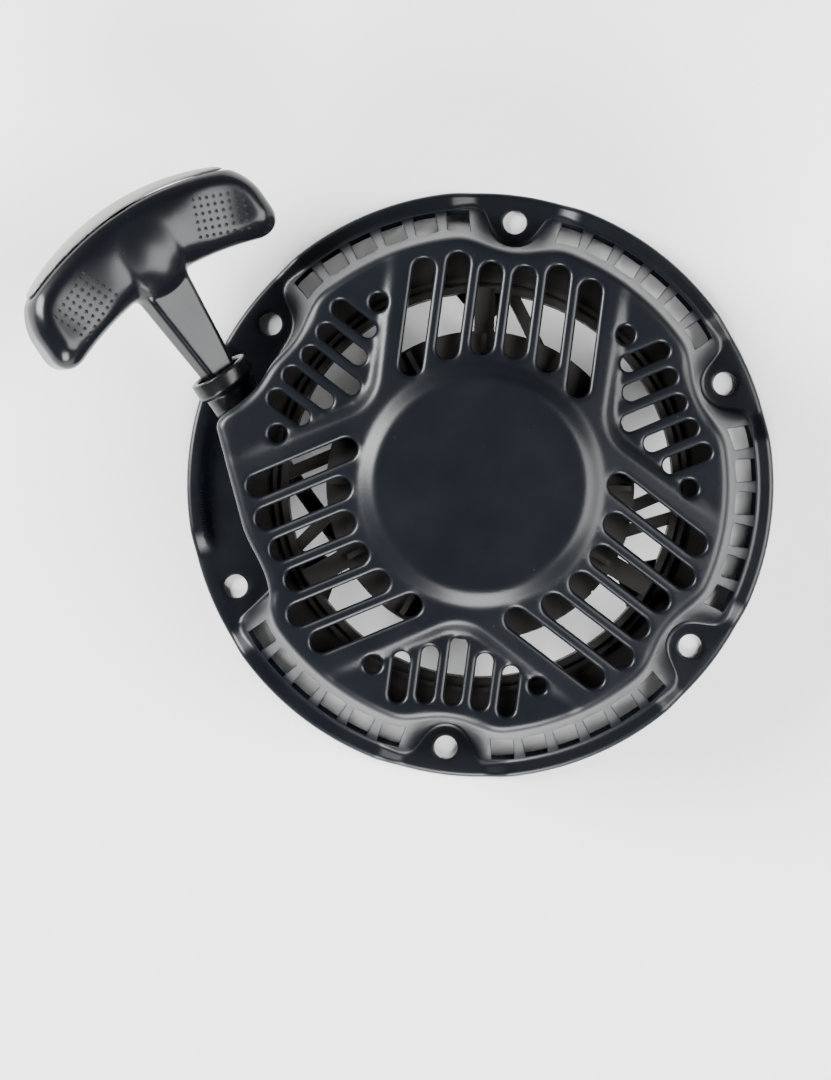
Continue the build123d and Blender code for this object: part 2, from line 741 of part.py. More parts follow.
def write_parts():
    """Writes each node to its own STEP file."""
    os.makedirs("parts", exist_ok=True)
    for name, made in make_parts().items():
        shape = Compound(made) if isinstance(made, list) else made
        export_step(shape, f"parts/{name}.step")


write_parts()
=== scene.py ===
"""Recoil starter: the visible surfaces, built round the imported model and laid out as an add-on."""

import bpy
import json
import math
import numpy as np
from bpy.props import FloatProperty, FloatVectorProperty, PointerProperty
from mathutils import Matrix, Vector
from mathutils.geometry import delaunay_2d_cdt


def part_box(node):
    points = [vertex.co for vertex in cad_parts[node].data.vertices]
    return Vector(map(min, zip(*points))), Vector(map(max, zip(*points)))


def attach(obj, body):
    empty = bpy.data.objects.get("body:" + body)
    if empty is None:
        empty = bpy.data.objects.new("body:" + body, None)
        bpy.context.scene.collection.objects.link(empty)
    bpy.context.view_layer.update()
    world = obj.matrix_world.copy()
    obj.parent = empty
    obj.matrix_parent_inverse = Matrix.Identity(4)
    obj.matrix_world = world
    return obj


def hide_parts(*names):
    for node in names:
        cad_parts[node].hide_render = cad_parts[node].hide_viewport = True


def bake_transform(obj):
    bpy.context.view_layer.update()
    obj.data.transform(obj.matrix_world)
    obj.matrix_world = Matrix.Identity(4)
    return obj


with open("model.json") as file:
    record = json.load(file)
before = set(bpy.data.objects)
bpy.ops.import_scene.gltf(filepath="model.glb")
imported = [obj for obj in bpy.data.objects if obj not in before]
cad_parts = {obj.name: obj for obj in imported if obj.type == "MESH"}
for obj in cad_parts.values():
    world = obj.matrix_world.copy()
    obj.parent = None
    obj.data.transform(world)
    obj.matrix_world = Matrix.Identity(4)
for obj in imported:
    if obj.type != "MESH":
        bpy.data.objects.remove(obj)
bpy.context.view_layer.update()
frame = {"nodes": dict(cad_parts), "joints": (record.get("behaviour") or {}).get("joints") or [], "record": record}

bl_info = {
    "name": "Recoil Starter",
    "version": (1, 0, 0),
    "blender": (4, 5, 0),
    "location": "View3D > Sidebar > Starter",
    "description": "Builds the cover, grip, rope and fittings of a small engine's recoil starter",
    "category": "Object",
}

MM = 0.001
RECORD = frame["record"]
MOUNTS = {mount["name"]: mount for mount in RECORD["mounts"]}
JOINTS = {joint["name"]: joint for joint in frame["joints"]}


def axis_of(joint):
    """A joint's axis as an array."""
    return np.array(JOINTS[joint]["axis"], float)


def box_mm(node):
    """A node's lowest and highest corners in millimetres."""
    low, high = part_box(node)
    return np.array(low) / MM, np.array(high) / MM


# ---- Sizes, in millimetres, taken from the frame where it holds them ----

# The cover's sheet, flange, wall and top
SHEET = 1.5
FLANGE_R = box_mm("cover")[1][0]
DISC_TOP_Z = box_mm("cover")[1][2]
BOLT_R = MOUNTS["mounting_holes"]["dims"]["pcd_mm"] / 2
BOLT_HOLE_R = MOUNTS["mounting_holes"]["dims"]["hole_r_mm"]
BOLT_COUNT = int(MOUNTS["mounting_holes"]["dims"]["count"])
BOLT_DEGS = [22.5 + 360 / BOLT_COUNT * i for i in range(BOLT_COUNT)]
PAD_Z = 1.6
RIDGE_Z = 5.0
RIM_ROLL = 1.6
WIDE_LEDGE_STEP = (85.4, 88.9)
WALL_FOOT_R = 89.2
SHOULDER_R = 73.6
SHOULDER_Z = 44.0
WALL_LEAN = (WALL_FOOT_R - SHOULDER_R) / SHOULDER_Z
WALL_TILT = math.radians(72)
DISC_FOOT_R = 35.9
DISC_EDGE_R = 31.2
DISC_FOOT_Z = 48.0
NOTCH_R = (7.8, 13.0)
FLAT_SIDE_DEG = 195.0
FLAT_SIDE = 71.6
FLAT_SIDE_END = 14.0
SNOUT_END = 60.0
SNOUT_NEAR = 40.5

# The vents in the top and the windows in the wall
VENT_TIP_R = 69.4
VENT_MARGIN = 1.7
WIDE_DEGS = (82.5, 202.5, 322.5)
WIDE_OFFSETS = (-25, -15, -5, 5, 15, 25)
WIDE_WIDTH = 6.6
WIDE_INNER_R = 38.5
POCKET_DEGS = (22.5, 142.5, 262.5)
NARROW_PITCH = 8.2
NARROW_WIDTH = 5.0
NARROW_INNER_R = 45.6
NARROW_STEP = 4.55
POCKET_APEX = 39.0
POCKET_HALF = math.radians(60)
POCKET_FLOOR_Z = 43.8
ROUND_VENT_R = 2.65
ROUND_VENT_AT = (57.0, 24.7)
WINDOW_DEGS = [arc + 7.1 * (k - 2.5) for arc in (52.5, 112.5, 232.5, 292.5, 352.5) for k in range(6)]
WINDOW_WIDTH = 7.0
WINDOW_Z = (5.9, 33.0)
WINDOW_CORNER = 2.5

# The rope, its guide and the turns on the reel
ROPE_AXIS = axis_of("handle_pull")
MOUTH = np.array(JOINTS["grip_twist"]["pos_m"]) / MM
ROPE_DEG = math.degrees(math.atan2(ROPE_AXIS[1], ROPE_AXIS[0]))
ROPE_R = 2.5
GUIDE_AT = (48.8, 24.1)
KNOT_HOLE_DEG = 60.0
WRAP_R = 45.2
WRAP_DEG = 100.0
RUN_BEND_R = 22.0
INNER_TURN_R = 38.6
OUTER_TURN_R = 43.5
LOW_TURN_Z = 18.6
HIGH_TURN_Z = 23.5
GUIDE_HOLE_R = 6.0
ROPE_RISE = math.asin(ROPE_AXIS[2])
PULL = JOINTS["handle_pull"]["range_m"][1] / MM

# The grip, along the rope from the guide's mouth, across it and through it
GRIP_ROLL = math.radians(20)
GRIP_THICK = 22.0
GRIP_EDGE = 7.0
GRIP_HALF_LENGTH = 41.4
GRIP_CORNER = 8.5
BACK_PEAK = 59.0
BACK_R = 81.4
FRONT_PEAK = 31.5
FRONT_R = 101.3
PARTING_R = 96.0
CAP_THICK = 2.8
PARTING_GAP = 0.3
STEM_AT = (-7.0, 0.0, 36.0)
STEM_HALF_WIDTH = (4.0, 4.4, 7.9)
STEM_HALF_HEIGHT = (5.0, 5.3, 7.0)
STEM_END = 44.0
KNOT_SEAT = 41.0
STEM_BULGE = 1.3
CROWN = 3.2
POCKET_R = 6.6
BORE_R = ROPE_R + 0.25
SCOOP_R = 66.5
SCOOP_TURN = math.radians(22.2)
DOT_ROWS = (8, 6)
DOT_R = 0.62


def unit(vector):
    """A vector of length 1."""
    return np.asarray(vector, float) / np.linalg.norm(vector)


ACROSS = unit(np.cross((0, 0, 1), ROPE_AXIS))
UPWARD = np.cross(ROPE_AXIS, ACROSS)
GRIP_AXES = np.array(
    [
        ROPE_AXIS,
        ACROSS * math.cos(GRIP_ROLL) + UPWARD * math.sin(GRIP_ROLL),
        UPWARD * math.cos(GRIP_ROLL) - ACROSS * math.sin(GRIP_ROLL),
    ]
)


def from_rope_line(points):
    """Points given along the rope line, across it and up from it, as row-frame points."""
    return MOUTH + np.asarray(points, float) @ np.array([ROPE_AXIS, ACROSS, UPWARD])


def from_grip(points):
    """Points in the grip's own axes as row-frame points."""
    return MOUTH + np.asarray(points, float) @ GRIP_AXES


# ---- Smooth fields ----


def smooth_max(a, b, width):
    """The larger of two fields, rounded over where they are within a width of each other."""
    near = np.clip(width - np.abs(a - b), 0, None) / width
    return np.maximum(a, b) + near * near * width / 4


def smooth_min(a, b, width):
    """The smaller of two fields, rounded over the same way."""
    return -smooth_max(-a, -b, width)


def round_max(a, b, radius):
    """The larger of two distances, with the corner between their surfaces rounded."""
    outer = np.hypot(np.clip(a + radius, 0, None), np.clip(b + radius, 0, None))
    return np.minimum(np.maximum(a + radius, b + radius), 0) + outer - radius


def ease(low, high, x):
    """0 below low, 1 above high, and a smooth rise between."""
    t = np.clip((x - low) / (high - low), 0, 1)
    return t * t * (3 - 2 * t)


def roll(distance, radius):
    """How far a rolled edge has dropped at a distance from the cut."""
    inset = np.clip(radius - distance, 0, radius)
    return radius - np.sqrt(np.clip(radius**2 - inset**2, 0, None))


def turned_axes(x, y, degrees):
    """Coordinates along and across a direction in plan."""
    c, s = math.cos(math.radians(degrees)), math.sin(math.radians(degrees))
    return x * c + y * s, y * c - x * s


# ---- Shader maths ----


class Value:
    """A node's output, which can be used in arithmetic."""

    def __init__(self, paint, socket):
        self.paint = paint
        self.socket = socket

    def __add__(self, other):
        return self.paint.math("ADD", self, other)

    def __sub__(self, other):
        return self.paint.math("SUBTRACT", self, other)

    def __rsub__(self, other):
        return self.paint.math("SUBTRACT", other, self)

    def __mul__(self, other):
        return self.paint.math("MULTIPLY", self, other)

    def __abs__(self):
        return self.paint.math("ABSOLUTE", self)

    __radd__ = __add__
    __rmul__ = __mul__


class Paint:
    """A material and the nodes that make its finish."""

    def __init__(self, name):
        self.material = bpy.data.materials.new(name)
        self.material.use_nodes = True
        self.tree = self.material.node_tree
        self.tree.nodes.clear()

    def node(self, kind, settings, inputs, output=0):
        """Adds a node: its settings first, then a value or a link for each socket."""
        made = self.tree.nodes.new("ShaderNode" + kind)
        for name, value in settings.items():
            setattr(made, name, value)
        for name, value in inputs.items():
            if isinstance(value, Value):
                self.tree.links.new(value.socket, made.inputs[name])
            else:
                made.inputs[name].default_value = value
        return Value(self, made.outputs[output]) if made.outputs else None

    def math(self, operation, *terms):
        """A Math node on one or two values."""
        return self.node("Math", {"operation": operation}, dict(enumerate(terms)))

    def noise(self, size_mm, detail=2.0, stretch=(1, 1, 1)):
        """Noise from 0 to 1 with features of a size, fixed to the piece."""
        place = self.node("TexCoord", {}, {}, "Object")
        place = self.node("VectorMath", {"operation": "MULTIPLY"}, {0: place, 1: stretch})
        return self.node("TexNoise", {}, {"Vector": place, "Scale": 1 / (size_mm * MM), "Detail": detail})

    def between(self, low, high, value):
        """How far a value is from low to high, kept within 0 and 1."""
        return self.node("MapRange", {}, {"Value": value, "From Min": low, "From Max": high})

    def mix(self, share, first, second):
        """A colour between two colours."""
        inputs = {0: share, 6: first, 7: second}
        return self.node("Mix", {"data_type": "RGBA"}, inputs, 2)

    def bump(self, height, depth_mm):
        """A normal bent by a height from 0 to 1, of a depth in millimetres."""
        return self.node("Bump", {}, {"Height": height, "Distance": depth_mm * MM, "Strength": 1.0})

    def dusty(self, surface):
        """Adds sparse light specks to a colour."""
        specks = self.between(0.78, 0.84, self.noise(0.9, 1.0))
        return self.mix(specks * 0.12, surface, (0.2, 0.2, 0.19, 1))

    def finish(self, **inputs):
        """Closes the material with its one surface shader."""
        named = {name.replace("_", " "): value for name, value in inputs.items()}
        shader = self.node("BsdfPrincipled", {}, named)
        self.node("OutputMaterial", {}, {"Surface": shader})
        return self.material


def rgba(colour, level=1.0):
    """A colour property, lighter or darker by a factor, with full alpha."""
    return (*(min(1.0, c * level) for c in colour), 1.0)


# ---- Finishes ----


def cover_paint(paint):
    """Semi-gloss black enamel with a slight orange peel, faint clouding and a little dust."""
    look = bpy.context.scene.starter_cover
    clouds = paint.noise(38, 3.0)
    peel = paint.noise(1.3, 1.0) + paint.noise(0.35, 1.0) * 0.25
    colour = paint.mix(clouds, rgba(look.paint_colour, 0.75), rgba(look.paint_colour, 1.3))
    rough = paint.between(0.3, 0.7, paint.noise(17, 4.0)) * 0.07 + look.paint_roughness
    return paint.finish(
        Base_Color=paint.dusty(colour),
        Roughness=rough,
        Normal=paint.bump(peel, 0.012),
        Specular_IOR_Level=0.27,
    )


def turned_metal(paint, colour, rough, groove_mm):
    """Machined metal with fine turning lines round the starter's axis."""
    place = paint.node("TexCoord", {}, {}, "Object")
    flat = paint.node("VectorMath", {"operation": "MULTIPLY"}, {0: place, 1: (1, 1, 0)})
    radius = paint.node("VectorMath", {"operation": "LENGTH"}, {0: flat}, 1)
    lines = paint.math("SINE", radius * (2 * math.pi / (groove_mm * MM)))
    stain = paint.between(0.35, 0.75, paint.noise(7, 4.0))
    return paint.finish(
        Base_Color=paint.mix(stain, rgba(colour), rgba(colour, 0.72)),
        Roughness=stain * 0.16 + rough,
        Normal=paint.bump(lines, 0.006),
        Metallic=1.0,
    )


def plain_steel(paint):
    """Turned mild steel."""
    return turned_metal(paint, (0.42, 0.42, 0.43), 0.34, 0.32)


def bush_bronze(paint):
    """Sintered bronze, turned and oily."""
    return turned_metal(paint, (0.55, 0.36, 0.18), 0.38, 0.24)


def zinc_steel(paint):
    """Bright zinc plate with soft crystalline patches."""
    patches = paint.node(
        "TexVoronoi",
        {"feature": "SMOOTH_F1"},
        {"Vector": paint.node("TexCoord", {}, {}, "Object"), "Scale": 1 / (2.2 * MM)},
    )
    tone = paint.between(0.1, 0.7, patches)
    return paint.finish(
        Base_Color=paint.mix(tone, (0.66, 0.66, 0.68, 1), (0.5, 0.51, 0.54, 1)),
        Roughness=tone * 0.14 + 0.22,
        Normal=paint.bump(paint.noise(0.5, 2.0), 0.006),
        Metallic=1.0,
    )


def spring_steel(paint):
    """Blued strip with straw-coloured temper patches and rolling lines along it."""
    temper = paint.between(0.35, 0.7, paint.noise(9, 2.0))
    lines = paint.noise(0.4, 1.0, (0.15, 0.15, 3.0))
    return paint.finish(
        Base_Color=paint.mix(temper, (0.22, 0.27, 0.36, 1), (0.36, 0.32, 0.26, 1)),
        Roughness=lines * 0.16 + 0.22,
        Normal=paint.bump(lines, 0.008),
        Metallic=1.0,
    )


def ratchet_steel(paint):
    """Sintered steel: open pores and an oily, uneven darkness."""
    pores = paint.between(0.28, 0.42, paint.noise(0.55, 2.0))
    oil = paint.between(0.35, 0.65, paint.noise(6, 3.0))
    return paint.finish(
        Base_Color=paint.mix(oil, (0.28, 0.28, 0.29, 1), (0.17, 0.165, 0.16, 1)),
        Roughness=0.52 - oil * 0.16,
        Normal=paint.bump(pores, 0.03),
        Metallic=0.95,
    )


def moulded_plastic(paint, colour, rough, grain_mm, depth_mm):
    """Moulded plastic: a fine spark-eroded texture, flow marks and a little dust."""
    flow = paint.noise(16, 3.0, (1, 1, 0.35))
    grain = paint.noise(grain_mm, 2.0)
    surface = paint.mix(flow, rgba(colour, 0.8), rgba(colour, 1.25))
    return paint.finish(
        Base_Color=paint.dusty(surface),
        Roughness=flow * 0.12 + rough - 0.06,
        Normal=paint.bump(grain, depth_mm),
        Specular_IOR_Level=0.26,
    )


def frame_plastic(paint):
    """Glass-filled nylon, black with a warm cast."""
    return moulded_plastic(paint, (0.014, 0.013, 0.012), 0.42, 0.6, 0.03)


def reel_plastic(paint):
    """Glass-filled nylon, a little darker and coarser."""
    return moulded_plastic(paint, (0.01, 0.01, 0.0115), 0.45, 0.8, 0.04)


def guide_plastic(paint):
    """Smooth black acetal."""
    return moulded_plastic(paint, (0.005, 0.005, 0.006), 0.28, 0.5, 0.01)


def grip_plastic(paint):
    """Satin black grip moulding."""
    look = bpy.context.scene.starter_grip
    return moulded_plastic(paint, look.body_colour, look.body_roughness, 0.45, 0.012)


def cap_plastic(paint):
    """The cap, painted pale grey as a painted reflection of the bright surroundings on a strip likely as black as
    the body, with fine lines along its length.
    """
    look = bpy.context.scene.starter_grip
    lines = paint.noise(0.5, 1.0, (0.3, 0.3, 3.0))
    tone = paint.noise(14, 3.0)
    return paint.finish(
        # The pale grey base colour is a painted reflection, not the strip's own colour.
        Base_Color=paint.dusty(paint.mix(tone, rgba(look.cap_painted_reflection_colour, 0.88), rgba(look.cap_painted_reflection_colour, 1.1))),
        Roughness=tone * 0.1 + 0.38,
        Normal=paint.bump(lines, 0.02),
        Specular_IOR_Level=0.5,
    )


def rope_braid(paint):
    """Braided nylon cord: crossing strands, with painted shade in the grooves between them and a painted highlight
    on their crowns, a pale tracer yarn and fuzz.
    """
    look = bpy.context.scene.starter_rope
    parts = paint.node("SeparateXYZ", {}, {0: paint.node("TexCoord", {}, {}, "UV")}, 0)
    along, round_it = parts, Value(paint, parts.socket.node.outputs[1])
    turns = 2 * math.pi
    lean, fall = along * turns + round_it * (4 * turns), along * turns - round_it * (4 * turns)
    weave = abs(paint.math("SINE", lean) * paint.math("SINE", fall))
    fibres = paint.math("SINE", (along * 9 + round_it * 26) * turns) * 0.12
    tracer = paint.between(0.9, 0.97, paint.math("SINE", lean * 0.25)) * paint.between(0.2, 0.5, weave)
    # The braid's colour follows the strands' bump height: painted shade, darker in the grooves between strands,
    # and a painted highlight, lighter on their crowns.
    yarn = paint.mix(paint.between(0.1, 0.8, weave), rgba(look.colour, 0.45), rgba(look.colour, 1.6))
    return paint.finish(
        Base_Color=paint.mix(tracer, yarn, rgba(look.tracer_colour)),
        Roughness=0.85 - weave * 0.15,
        Normal=paint.bump(weave + fibres, 0.25),
        Specular_IOR_Level=0.3,
        Sheen_Weight=0.05,
    )


FINISHES = {
    "cover_paint": cover_paint,
    "plain_steel": plain_steel,
    "zinc_steel": zinc_steel,
    "spring_steel": spring_steel,
    "ratchet_steel": ratchet_steel,
    "bush_bronze": bush_bronze,
    "frame_plastic": frame_plastic,
    "reel_plastic": reel_plastic,
    "guide_plastic": guide_plastic,
    "grip_plastic": grip_plastic,
    "cap_plastic": cap_plastic,
    "rope_braid": rope_braid,
}


def finish_of(slot):
    """The material of a slot, made the first time it is asked for."""
    name = "starter_" + slot
    return bpy.data.materials.get(name) or FINISHES[slot](Paint(name))


# ---- The cover's form ----


def outside_wall(x, y, z):
    """Above 0 outside the cover's wall at a height, below 0 inside it."""
    field = np.hypot(x, y) - (WALL_FOOT_R - WALL_LEAN * z)
    along, across = turned_axes(x, y, ROPE_DEG)
    snout = smooth_max(smooth_max(along - SNOUT_END, SNOUT_NEAR - across, 3), 25 - along, 3)
    field = smooth_min(field, snout, 6)
    out, aside = turned_axes(x, y, FLAT_SIDE_DEG)
    flat = smooth_min(out - FLAT_SIDE, FLAT_SIDE_END - aside, 3)
    field = smooth_max(field, flat, 4)
    recess = SNOUT_END - along
    for (a0, c0), (a1, c1) in (((60, 39), (65, 33.5)), ((65, 33.5), (79, 29)), ((79, 29), (110, 29))):
        run = math.hypot(a1 - a0, c1 - c0)
        recess = smooth_max(recess, ((c0 - across) * (a1 - a0) + (along - a0) * (c1 - c0)) / run, 5)
    field = smooth_max(field, -recess, 4)
    reach = NOTCH_R[0] + (NOTCH_R[1] - NOTCH_R[0]) * z / SHOULDER_Z
    for deg in BOLT_DEGS:
        a = math.radians(deg)
        away = np.hypot(x - BOLT_R * math.cos(a), y - BOLT_R * math.sin(a))
        field = smooth_max(field, reach - away, 9)
    return field


class WallTable:
    """The wall's distance from the axis, tabulated by angle and height."""

    def __init__(self):
        self.degrees = np.arange(0, 360, 0.25)
        self.heights = np.arange(0, 47, 2.0)
        angle, z = np.meshgrid(np.radians(self.degrees), self.heights, indexing="ij")
        near = np.full(angle.shape, 50.0)
        searching = np.ones(angle.shape, bool)
        for r in np.arange(50.0, 96.0, 1.0):
            outside = outside_wall(r * np.cos(angle), r * np.sin(angle), z) > 0
            near = np.where(searching & ~outside, r, near)
            searching &= ~outside
        far = near + 1.0
        for _ in range(12):
            middle = (near + far) / 2
            outside = outside_wall(middle * np.cos(angle), middle * np.sin(angle), z) > 0
            far = np.where(outside, middle, far)
            near = np.where(outside, near, middle)
        self.radius = (near + far) / 2
        turn = np.gradient(np.concatenate([self.radius[-1:], self.radius, self.radius[:1]]), axis=0)[1:-1]
        slant = turn[:, 10] / math.radians(0.25) / self.radius[:, 10]
        self.stretch = np.clip(np.sqrt(1 + slant**2), 1, 1.6)

    def at(self, theta, z):
        """Radius for arrays of angles in radians and heights."""
        place = np.degrees(theta) % 360 / 0.25
        i = np.floor(place).astype(int) % len(self.degrees)
        j = (i + 1) % len(self.degrees)
        f = place - np.floor(place)
        level = np.clip(z / 2.0, 0, len(self.heights) - 1.001)
        k = np.floor(level).astype(int)
        g = level - k
        low = self.radius[i, k] * (1 - f) + self.radius[j, k] * f
        high = self.radius[i, k + 1] * (1 - f) + self.radius[j, k + 1] * f
        return low * (1 - g) + high * g

    def stretch_at(self, theta):
        """How much longer a radial cut through the wall is than a square one."""
        return np.interp(np.degrees(theta) % 360, self.degrees, self.stretch, period=360)


def top_height(x, y):
    """Height of the pressed top before its vents are cut."""
    r = np.hypot(x, y)
    cone = DISC_FOOT_Z - (DISC_FOOT_Z - SHOULDER_Z) / (SHOULDER_R - DISC_FOOT_R) * (r - DISC_FOOT_R)
    rise = 1 - ease(DISC_EDGE_R - 0.9, DISC_FOOT_R + 1.2, r)
    height = cone + (DISC_TOP_Z - cone) * rise
    for deg in POCKET_DEGS:
        along, across = turned_axes(x, y, deg)
        sides = [
            (along - POCKET_APEX) * math.sin(POCKET_HALF) - side * across * math.cos(POCKET_HALF)
            for side in (1, -1)
        ]
        inside = smooth_min(sides[0], sides[1], 7)
        height = height - np.clip(height - POCKET_FLOOR_Z, 0, None) * ease(-0.6, 3.6, inside)
    return height


def slot_end(edge_at, deg, t, half):
    """How far out a slot's end may be centred so that its tip stays clear of the shoulder."""
    tip = math.sqrt(VENT_TIP_R**2 - t**2)
    for _ in range(3):
        for side in (t - half, t, t + half):
            room = float(edge_at(math.radians(deg) + math.atan2(side, tip))) - VENT_MARGIN
            tip = min(tip, math.sqrt(room**2 - side**2) + (0.6 if side != t else 0.0))
    return tip - half


def top_vents(edge_at):
    """Every slot and hole in the top: group angle, start, end, offset across, radius."""
    cuts = []
    for deg in WIDE_DEGS:
        for t in WIDE_OFFSETS:
            cuts.append((deg, WIDE_INNER_R, t, WIDE_WIDTH / 2))
    for deg in POCKET_DEGS:
        for k in range(-2, 3):
            cuts.append((deg, NARROW_INNER_R + NARROW_STEP * abs(k), NARROW_PITCH * k, NARROW_WIDTH / 2))
    slots = []
    for deg, inner, t, half in cuts:
        start = math.sqrt(inner**2 - t**2) + half
        end = slot_end(edge_at, deg, t, half)
        slots.append((deg, start, end, t, half))
    for deg in POCKET_DEGS:
        along, across = ROUND_VENT_AT
        slots += [(deg, along, along, side * across, ROUND_VENT_R) for side in (-1, 1)]
    return slots


def vent_distance(vents, x, y):
    """Distance outward from the nearest cut in the top, below 0 inside one."""
    nearest = np.full(np.shape(x), 1e3)
    for deg, start, end, t, half in vents:
        along, across = turned_axes(x, y, deg)
        past = along - np.clip(along, start, end)
        nearest = np.minimum(nearest, np.hypot(past, across - t) - half)
    return nearest


def bolt_distance(x, y):
    """Distance outward from the nearest mounting hole."""
    nearest = np.full(np.shape(x), 1e3)
    for deg in BOLT_DEGS:
        a = math.radians(deg)
        away = np.hypot(x - BOLT_R * math.cos(a), y - BOLT_R * math.sin(a))
        nearest = np.minimum(nearest, away - BOLT_HOLE_R)
    return nearest


def window_distance(theta, z, radius):
    """Distance outward from the nearest window or the guide's hole in the wall."""
    nearest = np.full(np.shape(theta), 1e3)
    for deg in WINDOW_DEGS:
        turn = (theta - math.radians(deg) + math.pi) % (2 * math.pi) - math.pi
        dx = np.abs(turn * radius) - WINDOW_WIDTH / 2
        up = z - WINDOW_Z[1]
        down = WINDOW_Z[0] - z
        corner = np.hypot(np.clip(dx + WINDOW_CORNER, 0, None), np.clip(up + WINDOW_CORNER, 0, None))
        rounded = np.minimum(np.maximum(dx, up) + WINDOW_CORNER, 0) + corner - WINDOW_CORNER
        nearest = np.minimum(nearest, np.maximum(rounded, down))
    along, across = turned_axes(radius * np.cos(theta), radius * np.sin(theta), ROPE_DEG)
    guide = np.hypot(across - GUIDE_AT[0], z - GUIDE_AT[1]) - GUIDE_HOLE_R
    return np.minimum(nearest, np.where(np.abs(along - SNOUT_END) < 4, guide, 1e3))


class CoverSheet:
    """Maps a flat pattern of the cover, as angle and run from the centre, onto its two faces."""

    SHOULDER, WALL, FOOT, LEDGE, RIM, LIP = 5.0, 40.0, 3.0, 13.0, 3.0, 3.0
    ROUND = 3.4
    FOOT_ROUND = 1.8
    START = math.radians(6)

    def __init__(self, slot_roll):
        self.slot_roll = slot_roll
        self.wall = WallTable()
        fine = np.radians(self.wall.degrees)
        reach = self.ROUND * self.wall.stretch * (math.sin(WALL_TILT) - math.sin(self.START))
        self.edge = self.wall.at(fine, np.full(fine.shape, 41.2)) - reach
        self.vents = top_vents(self.edge_at)

    def edge_at(self, theta):
        """Where the top ends and the shoulder starts."""
        return np.interp(np.degrees(theta) % 360, self.wall.degrees, self.edge, period=360)

    def ridge(self, theta, r):
        """Height of the flange: pads at the holes and the raised rim between them."""
        turn = np.degrees(theta)
        away = np.full(np.shape(theta), 60.0)
        for deg in BOLT_DEGS:
            away = np.minimum(away, np.abs((turn - deg + 180) % 360 - 180))
        raised = ease(7.6, 14.0, away)
        by_flat_side = np.abs((turn - 172.5 + 180) % 360 - 180) < 30
        raised = raised * np.where(by_flat_side, ease(*WIDE_LEDGE_STEP, r), 1.0)
        return PAD_Z + (RIDGE_Z - PAD_Z) * raised

    def levels(self, theta):
        """Per angle: top edge, its height, the wall's two end heights, and the foot's centre."""
        edge = self.edge_at(theta)
        stretch = self.wall.stretch_at(theta)
        edge_z = top_height(edge * np.cos(theta), edge * np.sin(theta))
        wall_top = edge_z - self.ROUND * (math.cos(self.START) - math.cos(WALL_TILT))
        guess = self.wall.at(theta, np.full(np.shape(theta), 3.0)) + 2
        foot_h = self.ridge(theta, guess)
        wall_foot = foot_h + self.FOOT_ROUND * (1 - math.cos(WALL_TILT))
        foot_r = self.wall.at(theta, wall_foot) + math.sin(WALL_TILT) * self.FOOT_ROUND * stretch
        return edge, stretch, edge_z, wall_top, wall_foot, foot_h, foot_r

    def run_of_wall(self, theta, z):
        """The pattern run of a point on the wall."""
        edge, _, _, wall_top, wall_foot, _, _ = self.levels(theta)
        return edge + self.SHOULDER + self.WALL * (wall_top - z) / (wall_top - wall_foot)

    def run_of_ledge(self, theta, r):
        """The pattern run of a point on the flange."""
        edge, _, _, _, _, _, foot_r = self.levels(theta)
        share = (r - foot_r) / (FLANGE_R - RIM_ROLL - foot_r)
        return edge + self.SHOULDER + self.WALL + self.FOOT + self.LEDGE * share

    def place(self, theta, run, inner):
        """Radius, height and distance to the nearest cut, on the outer or the inner face."""
        edge, stretch, edge_z, wall_top, wall_foot, foot_h, foot_r = self.levels(theta)
        past = run - edge
        gap = SHEET if inner else 0.0
        nx, nz = math.sin(WALL_TILT), math.cos(WALL_TILT)

        x, y = run * np.cos(theta), run * np.sin(theta)
        cut = np.where(past <= 0, vent_distance(self.vents, x, y), 1e3)
        top_z = top_height(x, y)
        plunge = 0.7 * (1 - ease(0.0, 3.0, cut)) if inner else 0.0
        top_z = top_z - gap - plunge - (0 if inner else roll(cut, self.slot_roll))
        r, z = run.copy(), top_z

        tilt = self.START + np.clip(past / self.SHOULDER, 0, 1) * (WALL_TILT - self.START)
        radius = self.ROUND - gap
        on = past > 0
        centre_z = edge_z - self.ROUND * math.cos(self.START)
        centre_r = edge - self.ROUND * stretch * math.sin(self.START)
        r = np.where(on, centre_r + radius * stretch * np.sin(tilt), r)
        z = np.where(on, centre_z + radius * np.cos(tilt), z)

        share = np.clip((past - self.SHOULDER) / self.WALL, 0, 1)
        wall_z = wall_top + (wall_foot - wall_top) * share
        wall_r = self.wall.at(theta, wall_z)
        on = (past > self.SHOULDER) & (past <= self.SHOULDER + self.WALL)
        window = np.where(on, window_distance(theta, wall_z, wall_r), 1e3)
        cut = np.minimum(cut, window)
        sink = gap if inner else roll(window, 0.5)
        join = self.wall.at(theta, wall_top) - centre_r - self.ROUND * stretch * nx
        join = join * (1 - ease(0, 0.2, share))
        r = np.where(on, wall_r - join - sink * stretch * nx, r)
        z = np.where(on, wall_z - sink * nz, z)

        start = self.SHOULDER + self.WALL
        tilt = (math.pi / 2 - WALL_TILT) + np.clip((past - start) / self.FOOT, 0, 1) * WALL_TILT
        on = past > start
        radius = self.FOOT_ROUND + gap
        r = np.where(on, foot_r - radius * stretch * np.cos(tilt), r)
        z = np.where(on, foot_h + self.FOOT_ROUND - radius * np.sin(tilt), z)

        start += self.FOOT
        share = np.clip((past - start) / self.LEDGE, 0, 1)
        ledge_end = FLANGE_R - RIM_ROLL
        ledge_r = foot_r + (ledge_end - foot_r) * share
        on = past > start
        bolt = np.where(on, bolt_distance(ledge_r * np.cos(theta), ledge_r * np.sin(theta)), 1e3)
        cut = np.minimum(cut, bolt)
        ledge_z = self.ridge(theta, ledge_r)
        r = np.where(on, ledge_r, r)
        z = np.where(on, ledge_z - (gap if inner else roll(bolt, 0.5)), z)

